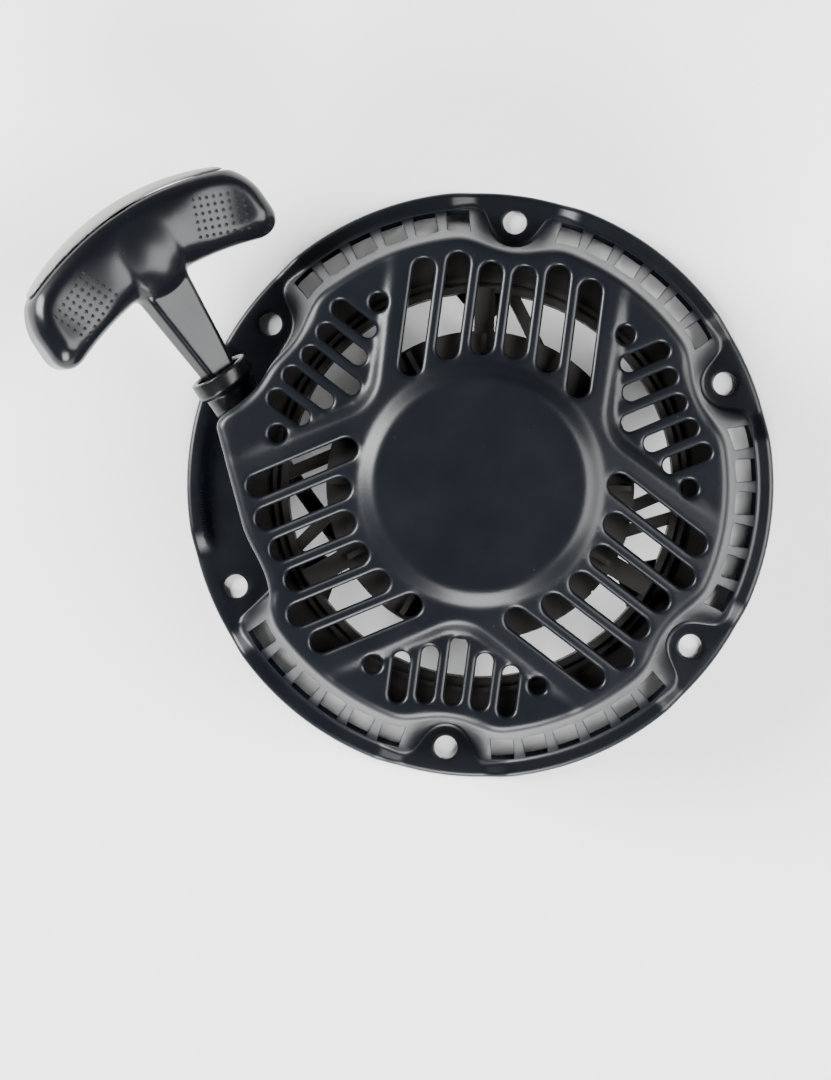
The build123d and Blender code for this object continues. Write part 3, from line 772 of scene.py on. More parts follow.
        start += self.LEDGE
        tilt = np.clip((past - start) / self.RIM, 0, 1) * math.pi / 2
        rim_z = self.ridge(theta, np.full(np.shape(theta), ledge_end))
        radius = RIM_ROLL - gap
        on = past > start
        r = np.where(on, ledge_end + radius * np.sin(tilt), r)
        z = np.where(on, rim_z - RIM_ROLL + radius * np.cos(tilt), z)

        start += self.RIM
        share = np.clip((past - start) / self.LIP, 0, 1)
        on = past > start
        z = np.where(on, (rim_z - RIM_ROLL) * (1 - share), z)
        return r, z, cut

    def length(self):
        """The pattern's run past the top's edge."""
        return self.SHOULDER + self.WALL + self.FOOT + self.LEDGE + self.RIM + self.LIP


def slot_loop(start, end, t, radius):
    """Outline of a round-ended slot, or a circle, in its group's axes."""
    arcs = np.linspace(-math.pi / 2, math.pi / 2, 13)
    points = [(end + radius * math.cos(a), t + radius * math.sin(a)) for a in arcs]
    run = end - start
    count = max(1, int(run / 1.6))
    if run > 0:
        points += [(end - run * k / count, t + radius) for k in range(1, count)]
    points += [(start - radius * math.cos(a), t - radius * math.sin(a)) for a in arcs]
    if run > 0:
        points += [(start + run * k / count, t - radius) for k in range(1, count)]
    else:
        points = points[:12] + points[13:-1]
    return np.array(points)


def window_loop(grow):
    """Outline of a window about its middle, as offsets across and heights."""
    half, low, high = WINDOW_WIDTH / 2 + grow, WINDOW_Z[0] - grow, WINDOW_Z[1] + grow
    corner = WINDOW_CORNER + grow
    points = []
    for a in np.linspace(0, math.pi / 2, 6):
        points.append((half - corner + corner * math.cos(a), high - corner + corner * math.sin(a)))
    points += [(-x, z) for x, z in points[::-1]]
    sides = np.linspace(high - corner, low, 14)[1:]
    points += [(-half, z) for z in sides]
    points += [(x, low) for x in np.linspace(-half, half, 6)[1:-1]]
    points += [(half, z) for z in sides[::-1]]
    return np.array(points)


class Pattern:
    """Points and fixed edges of the flat pattern that the cover is triangulated from."""

    def __init__(self, sheet):
        self.sheet = sheet
        self.theta, self.run, self.edges = [], [], []

    def add(self, theta, run):
        """Adds free points."""
        self.theta.extend(np.atleast_1d(theta))
        self.run.extend(np.atleast_1d(run))

    def loop(self, theta, run):
        """Adds a closed outline whose edges are kept."""
        first = len(self.theta)
        self.add(theta, run)
        count = len(self.theta) - first
        self.edges += [(first + i, first + (i + 1) % count) for i in range(count)]

    def add_top(self, slot_roll):
        """The slots with their rolled edges, and the open sheet between them."""
        for deg, start, end, t, half in self.sheet.vents:
            for tilt in (0, 30, 60, 90):
                grow = slot_roll * (1 - math.cos(math.radians(tilt)))
                outline = slot_loop(start, end, t, half + grow)
                theta = np.arctan2(outline[:, 1], outline[:, 0]) + math.radians(deg)
                self.loop(theta, np.hypot(outline[:, 0], outline[:, 1]))
        spacing = 1.25
        rows = np.arange(-84, 84, spacing * 0.866)
        for i, y in enumerate(rows):
            x = np.arange(-84, 84, spacing) + (spacing / 2 if i % 2 else 0)
            theta, run = np.arctan2(y, x), np.hypot(x, y)
            inside = run < self.sheet.edge_at(theta) - 0.7
            clear = vent_distance(self.sheet.vents, x, np.full(x.shape, y)) > slot_roll + 0.45
            self.add(theta[inside & clear], run[inside & clear])

    def add_rows(self):
        """Rings of points down the shoulder, wall, foot, flange and rim."""
        sheet = self.sheet
        parts = (
            (sheet.SHOULDER, 6),
            (sheet.WALL, 17),
            (sheet.FOOT, 4),
            (sheet.LEDGE, 8),
            (sheet.RIM, 5),
            (sheet.LIP, 2),
        )
        runs, start = [0.0], 0.0
        for length, count in parts:
            runs += [start + length * (k + 1) / count for k in range(count)]
            start += length
        for i, past in enumerate(runs):
            theta = np.radians(np.arange(0, 360, 0.6) + (0.3 if i % 2 else 0))
            run = sheet.edge_at(theta) + past
            if past in (0.0, runs[-1]):
                self.loop(theta, run)
                continue
            cut = sheet.place(theta, run, False)[2]
            self.add(theta[cut > 0.9], run[cut > 0.9])
        for radius in np.linspace(*WIDE_LEDGE_STEP, 6):
            theta = np.radians(np.arange(151, 195, 0.6) + radius % 1)
            self.add(theta, sheet.run_of_ledge(theta, np.full(theta.shape, radius)))

    def add_wall_cuts(self):
        """The windows, the guide's hole and the mounting holes."""
        sheet = self.sheet
        for grow in (0.0, 0.15, 0.5):
            outline = window_loop(grow)
            for deg in WINDOW_DEGS:
                theta = np.full(len(outline), math.radians(deg))
                radius = sheet.wall.at(theta, outline[:, 1])
                theta = theta + outline[:, 0] / radius
                self.loop(theta, sheet.run_of_wall(theta, outline[:, 1]))
            ring = np.linspace(0, 2 * math.pi, 33)[:-1]
            across = GUIDE_AT[0] + (GUIDE_HOLE_R + grow) * np.cos(ring)
            theta = math.radians(ROPE_DEG) + np.arctan2(across, SNOUT_END)
            self.loop(theta, sheet.run_of_wall(theta, GUIDE_AT[1] + (GUIDE_HOLE_R + grow) * np.sin(ring)))
            for deg in BOLT_DEGS:
                a = math.radians(deg)
                x = BOLT_R * math.cos(a) + (BOLT_HOLE_R + grow) * np.cos(ring)
                y = BOLT_R * math.sin(a) + (BOLT_HOLE_R + grow) * np.sin(ring)
                theta = np.arctan2(y, x)
                self.loop(theta, sheet.run_of_ledge(theta, np.hypot(x, y)))

    def triangles(self):
        """The pattern's angles, runs and triangles, without the cut-out ones."""
        theta, run = np.array(self.theta), np.array(self.run)
        flat = np.stack([run * np.cos(theta), run * np.sin(theta)], 1)
        made = delaunay_2d_cdt([Vector(p) for p in flat], self.edges, [], 0, 1e-5, False)
        points = np.array([tuple(p) for p in made[0]])
        faces = np.array([f for f in made[2] if len(f) == 3])
        centre = points[faces].mean(1)
        angle, reach = np.arctan2(centre[:, 1], centre[:, 0]), np.hypot(centre[:, 0], centre[:, 1])
        cut = self.sheet.place(angle, reach, False)[2]
        within = reach < self.sheet.edge_at(angle) + self.sheet.length()
        faces = faces[(cut > 0) & within]
        a, b, c = (points[faces[:, k]] for k in range(3))
        turn = (b - a)[:, 0] * (c - a)[:, 1] - (b - a)[:, 1] * (c - a)[:, 0]
        faces[turn < 0] = faces[turn < 0][:, ::-1]
        faces = faces[np.abs(turn) > 1e-7]
        return np.arctan2(points[:, 1], points[:, 0]), np.hypot(points[:, 0], points[:, 1]), faces


def open_edges(faces):
    """Directed edges that only one triangle uses."""
    sides = np.concatenate([faces[:, [0, 1]], faces[:, [1, 2]], faces[:, [2, 0]]])
    used = {tuple(side) for side in sides}
    return [side for side in used if (side[1], side[0]) not in used]


def mesh_piece(name, points_mm, faces, sharp_deg=35.0):
    """A smooth-shaded mesh object from points in millimetres."""
    mesh = bpy.data.meshes.new(name)
    mesh.from_pydata((np.asarray(points_mm, float) * MM).tolist(), [], [tuple(map(int, f)) for f in faces])
    mesh.validate()
    mesh.shade_smooth()
    mesh.set_sharp_from_angle(angle=math.radians(sharp_deg))
    piece = bpy.data.objects.new(name, mesh)
    bpy.context.scene.collection.objects.link(piece)
    return piece


def place_piece(piece, body, slot, replaced=()):
    """Gives a piece its finish, its body and the CAD nodes it stands for."""
    piece.data.materials.append(finish_of(slot))
    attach(piece, body)
    if replaced:
        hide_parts(*replaced)
    return piece


def cover_mesh(slot_roll):
    """The whole cover as one closed sheet."""
    sheet = CoverSheet(slot_roll)
    pattern = Pattern(sheet)
    pattern.add_top(slot_roll)
    pattern.add_rows()
    pattern.add_wall_cuts()
    theta, run, faces = pattern.triangles()
    sides = []
    for inner in (False, True):
        r, z, _ = sheet.place(theta, run, inner)
        sides.append(np.stack([r * np.cos(theta), r * np.sin(theta), z], 1))
    count = len(theta)
    walls = [(b, a, a + count, b + count) for a, b in open_edges(faces)]
    used = np.unique(faces)
    keep = np.concatenate([used, used + count])
    renumber = np.full(2 * count, -1)
    renumber[keep] = np.arange(len(keep))
    every = [renumber[f] for f in faces] + [renumber[f[::-1] + count] for f in faces]
    every += [renumber[np.array(w)] for w in walls]
    return mesh_piece("pressed_cover", np.concatenate(sides)[keep], every)


# ---- The grip ----


def skin_of(field, low, high, cell):
    """Points and quads of the surface where a field is 0, one point in each crossed cell."""
    value = field(*np.meshgrid(*(np.arange(a, b, cell) for a, b in zip(low, high)), indexing="ij"))
    size = np.array(value.shape) - 1
    total, count = np.zeros((*size, 3)), np.zeros(size)
    for axis in range(3):
        for sides in ((0, 0), (0, 1), (1, 0), (1, 1)):
            start = np.insert(sides, axis, 0)
            end = start + np.eye(3, dtype=int)[axis]
            a, b = (value[tuple(slice(o, o + n) for o, n in zip(at, size))] for at in (start, end))
            crossed = (a < 0) != (b < 0)
            share = np.where(crossed, a / np.where(crossed, a - b, 1), 0)
            place = start + share[..., None] * np.eye(3)[axis]
            total += place * crossed[..., None]
            count += crossed
    used = count > 0
    number = np.full(size, -1)
    number[used] = np.arange(used.sum())
    points = np.array(low) + (np.argwhere(used) + total[used] / count[used][:, None]) * cell
    quads = []
    for axis in range(3):
        first, second = np.delete(np.eye(3, dtype=int), axis, 0)
        inner = [slice(1, -1)] * 3
        inner[axis] = slice(None, -1)
        a = value[tuple(inner)]
        inner[axis] = slice(1, None)
        b = value[tuple(inner)]
        at = np.argwhere((a < 0) != (b < 0))
        corners = [number[tuple((at + step).T)] for step in (0 * first, first, first + second, second)]
        quad = np.stack(corners, 1)
        flip = (a[tuple(at.T)] < 0) == (axis == 1)
        quad[flip] = quad[flip][:, ::-1]
        quads.append(quad)
    return settle(field, points, cell), np.concatenate(quads)


def slope_of(field, points):
    """A field's gradient at points."""
    step = 0.04
    parts = []
    for axis in np.eye(3):
        parts.append((field(*(points + step * axis).T) - field(*(points - step * axis).T)) / (2 * step))
    return np.stack(parts, 1)


def settle(field, points, cell):
    """Points moved onto the surface where a field is 0."""
    for _ in range(3):
        slope = slope_of(field, points)
        steepness = np.clip((slope**2).sum(1), 0.05, None)
        move = (field(*points.T) / steepness)[:, None] * slope
        points = points - np.clip(move, -0.4 * cell, 0.4 * cell)
    return points


def grip_bar(u, v, w):
    """The bar: two arcs, rounded ends, crowned faces, with a shallow finger scoop at each end."""
    back = np.hypot(u - (BACK_PEAK - BACK_R), v) - BACK_R
    front = FRONT_R - np.hypot(u - (FRONT_PEAK - FRONT_R), v)
    outline = round_max(round_max(back, np.abs(v) - GRIP_HALF_LENGTH, GRIP_CORNER), front, GRIP_CORNER)
    out, aside = scoop_axes(u, v)
    beside = np.hypot(u - (BACK_PEAK - BACK_R), v) - SCOOP_R - 1.0
    face = GRIP_THICK / 2 - CROWN * (beside / 13) ** 2
    field = round_max(outline, np.abs(w) - face, GRIP_EDGE)
    scoop = np.sqrt((out / 12.5) ** 2 + (aside / 13.8) ** 2 + ((np.abs(w) - face - 3.6) / 5.4) ** 2)
    return smooth_max(field, (1 - scoop) * 5.4, 1.8)


def scoop_axes(u, v):
    """Distances outward and sideways from the middle of the nearer finger scoop."""
    x = u - (BACK_PEAK - BACK_R)
    out = x * math.cos(SCOOP_TURN) + np.abs(v) * math.sin(SCOOP_TURN) - SCOOP_R
    aside = np.abs(v) * math.cos(SCOOP_TURN) - x * math.sin(SCOOP_TURN)
    return out, aside


def parting(u, v):
    """Distance behind the line where the cap meets the body."""
    return np.hypot(u - (BACK_PEAK - CAP_THICK - PARTING_R), v) - PARTING_R


def grip_body(u, v, w):
    """Bar and stem in one moulding, with a domed root, the rope's bore and the knot's pocket."""
    half_height = np.interp(u, STEM_AT, STEM_HALF_HEIGHT)
    bulge = STEM_BULGE * (1 - np.abs(w) / half_height)
    width = np.abs(v) - np.interp(u, STEM_AT, STEM_HALF_WIDTH) - bulge
    height = np.abs(w) - half_height
    stem = round_max(round_max(width, height, 1.5), STEM_AT[0] - u, 1.2)
    stem = np.maximum(stem, u - STEM_END)
    dome = (np.sqrt(((u - 40) / 14) ** 2 + (v / 15) ** 2 + (w / 11.9) ** 2) - 1) * 11.9
    root = round_max(dome, np.abs(v) - np.interp(u, (28, 45), (8.8, 10.6)), 3.0)
    field = smooth_min(grip_bar(u, v, w), smooth_min(stem, root, 0.8), 2.4)
    bore = np.hypot(v, w)
    field = smooth_max(field, np.minimum(BORE_R - bore, STEM_END - u), 0.7)
    pocket = np.maximum(bore - POCKET_R, KNOT_SEAT - u)
    field = smooth_max(field, -pocket, 0.5)
    return smooth_max(field, parting(u, v) + PARTING_GAP / 2, 1.0)


def grip_cap(u, v, w):
    """The strip behind the parting line."""
    return smooth_max(grip_bar(u, v, w), PARTING_GAP / 2 - parting(u, v), 1.0)


def dot_centres():
    """Places of the raised dots in plan: eight along the bar by six across, on each side."""
    pitch = bpy.context.scene.starter_grip.dot_pitch / MM
    centres = []
    for side in (-1, 1):
        for i in range(DOT_ROWS[0]):
            for j in range(DOT_ROWS[1]):
                aside = pitch * (i - (DOT_ROWS[0] - 1) / 2)
                out = SCOOP_R + pitch * (j - (DOT_ROWS[1] - 1) / 2)
                u = out * math.cos(SCOOP_TURN) - aside * math.sin(SCOOP_TURN) + BACK_PEAK - BACK_R
                v = out * math.sin(SCOOP_TURN) + aside * math.cos(SCOOP_TURN)
                centres.append((u, side * v))
    return np.array(centres)


def grip_dots():
    """The raised dots in both scoops of the upper face, as low domes on the surface."""
    height = bpy.context.scene.starter_grip.dot_height / MM
    centres = dot_centres()
    low, high = np.zeros(len(centres)), np.full(len(centres), GRIP_THICK)
    for _ in range(30):
        middle = (low + high) / 2
        outside = grip_bar(*centres.T, middle) > 0
        high = np.where(outside, middle, high)
        low = np.where(outside, low, middle)
    seats = np.column_stack([centres, low])
    normals = slope_of(grip_bar, seats)
    points, faces = [], []
    for seat, normal in zip(seats, normals):
        normal = unit(normal)
        side = unit(np.cross(normal, (1, 0, 0)))
        other = np.cross(normal, side)
        first = len(points)
        for share in (0.0, 0.35, 0.7, 0.92):
            lift = -0.15 + (height + 0.15) * math.sin(share * math.pi / 2)
            reach = DOT_R * math.cos(share * math.pi / 2)
            for a in np.arange(12) * math.pi / 6:
                points.append(seat + normal * lift + (side * math.cos(a) + other * math.sin(a)) * reach)
        points.append(seat + normal * height)
        for ring in range(3):
            for k in range(12):
                a, b = first + ring * 12 + k, first + ring * 12 + (k + 1) % 12
                faces.append((a, b, b + 12, a + 12))
        faces += [(first + 36 + k, first + 36 + (k + 1) % 12, first + 48) for k in range(12)]
        faces.append(tuple(first + k for k in range(11, -1, -1)))
    return mesh_piece("grip_dots", from_grip(points), faces, 60)


# ---- Turned pieces, wire and rope ----


def rounded_outline(corners, radius):
    """A closed (radius, along) outline with an arc at each corner, as large as its sides allow."""
    points = []
    corners = np.array(corners, float)
    for i, corner in enumerate(corners):
        back, ahead = corners[i - 1] - corner, corners[(i + 1) % len(corners)] - corner
        cut = min(radius, 0.42 * np.linalg.norm(back), 0.42 * np.linalg.norm(ahead))
        start, end = corner + unit(back) * cut, corner + unit(ahead) * cut
        for t in np.linspace(0, 1, 6):
            points.append(start * (1 - t) ** 2 + corner * 2 * t * (1 - t) + end * t**2)
    return np.array(points)


def rope_guide_mesh():
    """The eyelet: turned about the rope line, and sheared where it meets the cover's wall."""
    corners = (
        (7.4, 0.0),
        (9.5, 0.0),
        (9.5, -5.0),
        (8.0, -6.2),
        (8.0, -13.1),
        (5.6, -13.1),
        (5.6, -14.8),
        (8.0, -14.8),
        (8.0, -16.6),
        (6.6, -19.0),
        (5.4, -19.0),
        (3.4, -12.4),
        (3.05, -8.0),
        (6.7, -7.2),
    )
    outline = rounded_outline(corners, 1.1)
    count, sides = len(outline), 72
    points = []
    for k in range(sides):
        a = 2 * math.pi * k / sides
        up = outline[:, 0] * math.sin(a)
        shear = up * math.tan(ROPE_RISE) * ease(6.5, 12.0, -outline[:, 1])
        points.append(np.column_stack([outline[:, 1] + shear, outline[:, 0] * math.cos(a), up]))
    faces = []
    for k in range(sides):
        for i in range(count):
            j, nxt = (i + 1) % count, (k + 1) % sides
            faces.append((k * count + i, nxt * count + i, nxt * count + j, k * count + j))
    return mesh_piece("rope_eyelet", from_rope_line(np.concatenate(points)), faces, 50)


def tube(name, path, radius, lengths=None, sides=14):
    """A round tube along points, with its length in rope diameters and its turn as UVs."""
    path = np.asarray(path, float)
    ahead = np.gradient(path, axis=0)
    ahead /= np.linalg.norm(ahead, axis=1)[:, None]
    if lengths is None:
        lengths = np.concatenate([[0], np.cumsum(np.linalg.norm(np.diff(path, axis=0), axis=1))])
    side = unit(np.cross(ahead[0], (0.31, 0.17, 0.93)))
    points, uvs = [], []
    for centre, forward, length in zip(path, ahead, lengths):
        side = unit(side - forward * np.dot(side, forward))
        other = np.cross(forward, side)
        for k in range(sides + 1):
            a = 2 * math.pi * k / sides
            points.append(centre + (side * math.cos(a) + other * math.sin(a)) * radius)
            uvs.append((length / (2 * radius), k / sides))
    return mesh_tube(name, points, uvs, len(path), sides + 1)


def mesh_tube(name, points, uvs, rings, row):
    """Joins rings of points, each with its first point repeated for the UV seam, into a capped tube."""
    faces = []
    for i in range(rings - 1):
        for k in range(row - 1):
            a = i * row + k
            faces.append((a, a + 1, a + row + 1, a + row))
    last = (rings - 1) * row
    faces.append(tuple(range(row - 2, -1, -1)))
    faces.append(tuple(last + k for k in range(row - 1)))
    weld = {i * row + row - 1: i * row for i in range(rings)}
    keep = [i for i in range(len(points)) if i not in weld]
    number = {old: new for new, old in enumerate(keep)}
    welded = [[number[weld.get(corner, corner)] for corner in face] for face in faces]
    piece = mesh_piece(name, np.array(points)[keep], welded, 60)
    layer = piece.data.uv_layers.new(name="along")
    flat = [uvs[corner] for face in faces for corner in face]
    layer.data.foreach_set("uv", np.array(flat, float).ravel())
    return piece


def arc_points(centre, radius, start_deg, end_deg, z, count):
    """Points on a level arc."""
    a = np.radians(np.linspace(start_deg, end_deg, count))
    x, y = centre[0] + radius * np.cos(a), centre[1] + radius * np.sin(a)
    return np.column_stack([x, y, np.full(count, z)])


def leaving_point():
    """Bearing at which the rope leaves the reel, and the corner where it turns up into the guide."""
    reach = math.hypot(SNOUT_END, GUIDE_AT[0])
    bearing = math.radians(ROPE_DEG) + math.atan2(GUIDE_AT[0], SNOUT_END)
    corner = np.array([reach * math.cos(bearing), reach * math.sin(bearing), GUIDE_AT[1]])
    return math.degrees(bearing + math.acos(WRAP_R / reach)), corner


def rope_run_path():
    """The last wrap on the reel, the level run to the snout, and the bend up into the guide."""
    leave, corner = leaving_point()
    path = list(arc_points((0, 0), WRAP_R, leave + WRAP_DEG, leave, GUIDE_AT[1], 120))
    arriving = unit(corner - path[-1])
    cut = RUN_BEND_R * math.tan(math.acos(float(np.dot(arriving, ROPE_AXIS))) / 2)
    start, end = corner - arriving * cut, corner + ROPE_AXIS * cut
    path += [path[-1] + (start - path[-1]) * t for t in np.linspace(0, 1, 24)[1:]]
    path += [start * (1 - t) ** 2 + corner * 2 * t * (1 - t) + end * t**2 for t in np.linspace(0, 1, 14)[1:]]
    finish = from_rope_line([(-9.3, 0, 0)])[0]
    return path + [end + (finish - end) * t for t in np.linspace(0, 1, 8)[1:]]


def coil_path():
    """The rope wound on the reel, from the knot hole: two turns side by side, then others over them."""
    last = leaving_point()[0] + WRAP_DEG - 1439.2
    stations = (
        (KNOT_HOLE_DEG, INNER_TURN_R, LOW_TURN_Z),
        (-272, INNER_TURN_R, LOW_TURN_Z),
        (-296, INNER_TURN_R, HIGH_TURN_Z),
        (-662, INNER_TURN_R, HIGH_TURN_Z),
        (-690, OUTER_TURN_R, LOW_TURN_Z),
        (last + 46, OUTER_TURN_R, LOW_TURN_Z),
        (last + 24, WRAP_R, GUIDE_AT[1]),
        (last, WRAP_R, GUIDE_AT[1]),
    )
    turn, radius, height = np.array(stations[::-1]).T
    degrees = np.linspace(KNOT_HOLE_DEG, last, 350)
    r = np.interp(degrees, turn, radius)
    a = np.radians(degrees)
    wound = np.column_stack([r * np.cos(a), r * np.sin(a), np.interp(degrees, turn, height)])
    lead_r = np.array([29.5, 31.0, 33.0, 35.0, 37.0])
    lead_a = np.radians(KNOT_HOLE_DEG + np.array([0, 0, 0, 0.4, 1.5]))
    lead = np.column_stack([lead_r * np.cos(lead_a), lead_r * np.sin(lead_a), np.full(5, LOW_TURN_Z)])
    return np.concatenate([lead, wound[1:]])


def knot_path(centre, axis, reach, half_length):
    """An overhand knot, pulled tight about an axis."""
    axis = unit(axis)
    side = unit(np.cross(axis, (0.2, 0.3, 0.9)))
    other = np.cross(axis, side)
    t = np.linspace(0, 2 * math.pi, 90)
    x = (np.sin(t) + 2 * np.sin(2 * t)) / 3 * reach
    y = (np.cos(t) - 2 * np.cos(2 * t)) / 3 * reach
    z = -np.sin(3 * t) * half_length
    return np.asarray(centre) + x[:, None] * side + y[:, None] * other + z[:, None] * axis


def pulled_rope():
    """The rope from the guide to the knot in the grip, with rings spaced for its pulled length."""
    start, end = -9.0, KNOT_SEAT + 2.2
    share = np.linspace(0, 1, 401)
    rest = 0.5 - np.sin(np.arcsin(1 - 2 * share) / 3)
    along = start + (end - start) * rest
    path = from_rope_line(np.column_stack([along, np.zeros_like(along), np.zeros_like(along)]))
    piece = tube("starter_rope", path, ROPE_R, along + PULL * share, 12)
    piece.data.materials.append(finish_of("rope_braid"))
    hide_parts("rope_tail")
    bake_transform(piece)
    return piece


def ratchet_spring_mesh(number):
    """The torsion spring round one ratchet's pin, with a leg that hooks the reel."""
    low, high = box_mm(f"ratchet_spring_{number}")
    side = 1 if low[0] + high[0] > 0 else -1
    wire, coil_r, pin_r, turns = 0.42, 4.25, 21.0, 2.9
    t = np.linspace(0, turns, 90)
    a = 2 * math.pi * t
    height = low[2] + wire + 0.12 + (high[2] - low[2] - 2 * wire - 0.2) * t / turns
    path = np.column_stack([side * (pin_r + coil_r * np.cos(a)), side * coil_r * np.sin(a), height])
    leg = path[0] + np.outer(np.linspace(2.2, 0, 5)[:-1], (0, -side, 0))
    return tube(f"torsion_spring_{number}", np.concatenate([leg, path]), wire, sides=8)


# ---- Settings, operators and panel ----


class StarterCoverSettings(bpy.types.PropertyGroup):
    """Sizes and finish of the pressed cover."""

    slot_roll: FloatProperty(
        name="Slot edge roll", description="Radius that the vents' edges are rolled to",
        default=1.2 * MM, min=0.2 * MM, max=1.6 * MM, precision=4, unit="LENGTH",
    )
    paint_colour: FloatVectorProperty(
        name="Paint", description="Colour of the enamel",
        default=(0.0026, 0.0036, 0.0056), subtype="COLOR", min=0, max=1,
    )
    paint_roughness: FloatProperty(
        name="Paint roughness", description="Lowest roughness of the enamel",
        default=0.32, min=0, max=1, subtype="FACTOR",
    )


class StarterGripSettings(bpy.types.PropertyGroup):
    """Sizes and finishes of the grip."""

    cell: FloatProperty(
        name="Mesh cell", description="Size of the cells that the grip's surface is drawn with",
        default=0.55 * MM, min=0.4 * MM, max=2 * MM, precision=4, unit="LENGTH",
    )
    dot_pitch: FloatProperty(
        name="Dot pitch", description="Distance between the raised dots",
        default=2.25 * MM, min=1.5 * MM, max=3 * MM, precision=4, unit="LENGTH",
    )
    dot_height: FloatProperty(
        name="Dot height", description="How far a dot stands up",
        default=0.45 * MM, min=0.1 * MM, max=1 * MM, precision=4, unit="LENGTH",
    )
    body_colour: FloatVectorProperty(
        name="Body", description="Colour of the grip's body",
        default=(0.0034, 0.004, 0.0056), subtype="COLOR", min=0, max=1,
    )
    body_roughness: FloatProperty(
        name="Body roughness", description="Middle roughness of the grip's body",
        default=0.25, min=0, max=1, subtype="FACTOR",
    )
    # The cap's pale grey is a painted reflection of the bright surroundings; the strip itself is likely as black
    # as the body.
    cap_painted_reflection_colour: FloatVectorProperty(
        name="Cap", description="Colour of the strip on the grip's back",
        default=(0.2, 0.2, 0.195), subtype="COLOR", min=0, max=1,
    )


class StarterRopeSettings(bpy.types.PropertyGroup):
    """Colours of the rope."""

    colour: FloatVectorProperty(
        name="Yarn", description="Colour of the braid",
        default=(0.009, 0.0095, 0.012), subtype="COLOR", min=0, max=1,
    )
    tracer_colour: FloatVectorProperty(
        name="Tracer", description="Colour of the tracer yarn",
        default=(0.09, 0.09, 0.088), subtype="COLOR", min=0, max=1,
    )


class StarterStageSettings(bpy.types.PropertyGroup):
    """Floor, lights and camera."""

    floor_colour: FloatVectorProperty(
        name="Floor", description="Colour of the floor",
        default=(0.88, 0.88, 0.88), subtype="COLOR", min=0, max=1,
    )
    light_level: FloatProperty(
        name="Light level", description="Factor on every lamp's power",
        default=1.0, min=0, max=5, subtype="FACTOR",
    )
    camera_height: FloatProperty(
        name="Camera height", description="Height of the camera over the mounting face",
        default=0.65, min=0.3, max=3, unit="LENGTH",
    )


class STARTER_OT_stage(bpy.types.Operator):
    """Sets up the camera, the pale floor and the soft lights"""

    bl_idname = "starter.stage"
    bl_label = "Stage"

    def execute(self, context):
        settings = context.scene.starter_stage
        add_camera(context, settings.camera_height)
        add_floor(context, settings.floor_colour)
        add_lights(context, settings.light_level)
        add_surroundings(context)
        return {"FINISHED"}


class STARTER_OT_rope(bpy.types.Operator):
    """Makes the rope: pulled stretch, last wrap and run, and the turns on the reel"""

    bl_idname = "starter.rope"
    bl_label = "Rope"

    def execute(self, context):
        pulled_rope()
        place_piece(tube("rope_wrap_and_run", rope_run_path(), ROPE_R), "housing", "rope_braid", ["rope_run"])
        place_piece(tube("wound_rope", coil_path(), ROPE_R), "reel", "rope_braid", ["rope_coil"])
        return {"FINISHED"}


class STARTER_OT_knots(bpy.types.Operator):
    """Ties the stopper knots in the reel and in the grip"""

    bl_idname = "starter.knots"
    bl_label = "Knots"

    def execute(self, context):
        low, high = box_mm("reel_knot")
        hole = math.radians(KNOT_HOLE_DEG)
        path = knot_path((low + high) / 2, (math.cos(hole), math.sin(hole), 0), 2.5, 1.7)
        place_piece(tube("reel_stopper_knot", path, 1.6), "reel", "rope_braid", ["reel_knot"])
        middle = from_rope_line([(KNOT_SEAT + 7.1, 0, 0)])[0]
        path = knot_path(middle, ROPE_AXIS, 3.4, 2.6)
        place_piece(tube("grip_stopper_knot", path, 1.9), "rope_end", "rope_braid", ["grip_knot"])
        return {"FINISHED"}


class STARTER_OT_cover(bpy.types.Operator):
    """Presses the cover from one sheet, with rolled vents, windows and flange"""

    bl_idname = "starter.cover"
    bl_label = "Cover"

    def execute(self, context):
        piece = cover_mesh(context.scene.starter_cover.slot_roll / MM)
        place_piece(piece, "housing", "cover_paint", ["cover"])
        return {"FINISHED"}


class STARTER_OT_rope_guide(bpy.types.Operator):
    """Turns the rope guide with its rounded lips"""

    bl_idname = "starter.rope_guide"
    bl_label = "Rope guide"

    def execute(self, context):
        place_piece(rope_guide_mesh(), "housing", "guide_plastic", ["rope_guide"])
        return {"FINISHED"}


class STARTER_OT_grip(bpy.types.Operator):
    """Moulds the grip's body and cap"""

    bl_idname = "starter.grip"
    bl_label = "Grip"

    def execute(self, context):
        cell = context.scene.starter_grip.cell / MM
        edge = GRIP_HALF_LENGTH + 2
        thick = GRIP_THICK / 2 + 2
        for name, field, low_u, slot, node in (
            ("grip_handle", grip_body, STEM_AT[0] - 2, "grip_plastic", "grip_body"),
            ("grip_back", grip_cap, FRONT_PEAK, "cap_plastic", "grip_cap"),
        ):
            points, quads = skin_of(field, (low_u, -edge, -thick), (BACK_PEAK + 2, edge, thick), cell)
            place_piece(mesh_piece(name, from_grip(points), quads, 50), "grip", slot, [node])
        return {"FINISHED"}


class STARTER_OT_grip_dots(bpy.types.Operator):
    """Raises the dots in the grip's finger scoops"""

    bl_idname = "starter.grip_dots"
    bl_label = "Grip dots"

    def execute(self, context):
        place_piece(grip_dots(), "grip", "grip_plastic")
        return {"FINISHED"}


class STARTER_OT_springs(bpy.types.Operator):
    """Winds the ratchets' torsion springs"""

    bl_idname = "starter.springs"
    bl_label = "Ratchet springs"

    def execute(self, context):
        for number in (1, 2):
            piece = ratchet_spring_mesh(number)
            place_piece(piece, "reel", "spring_steel", [f"ratchet_spring_{number}"])
        return {"FINISHED"}


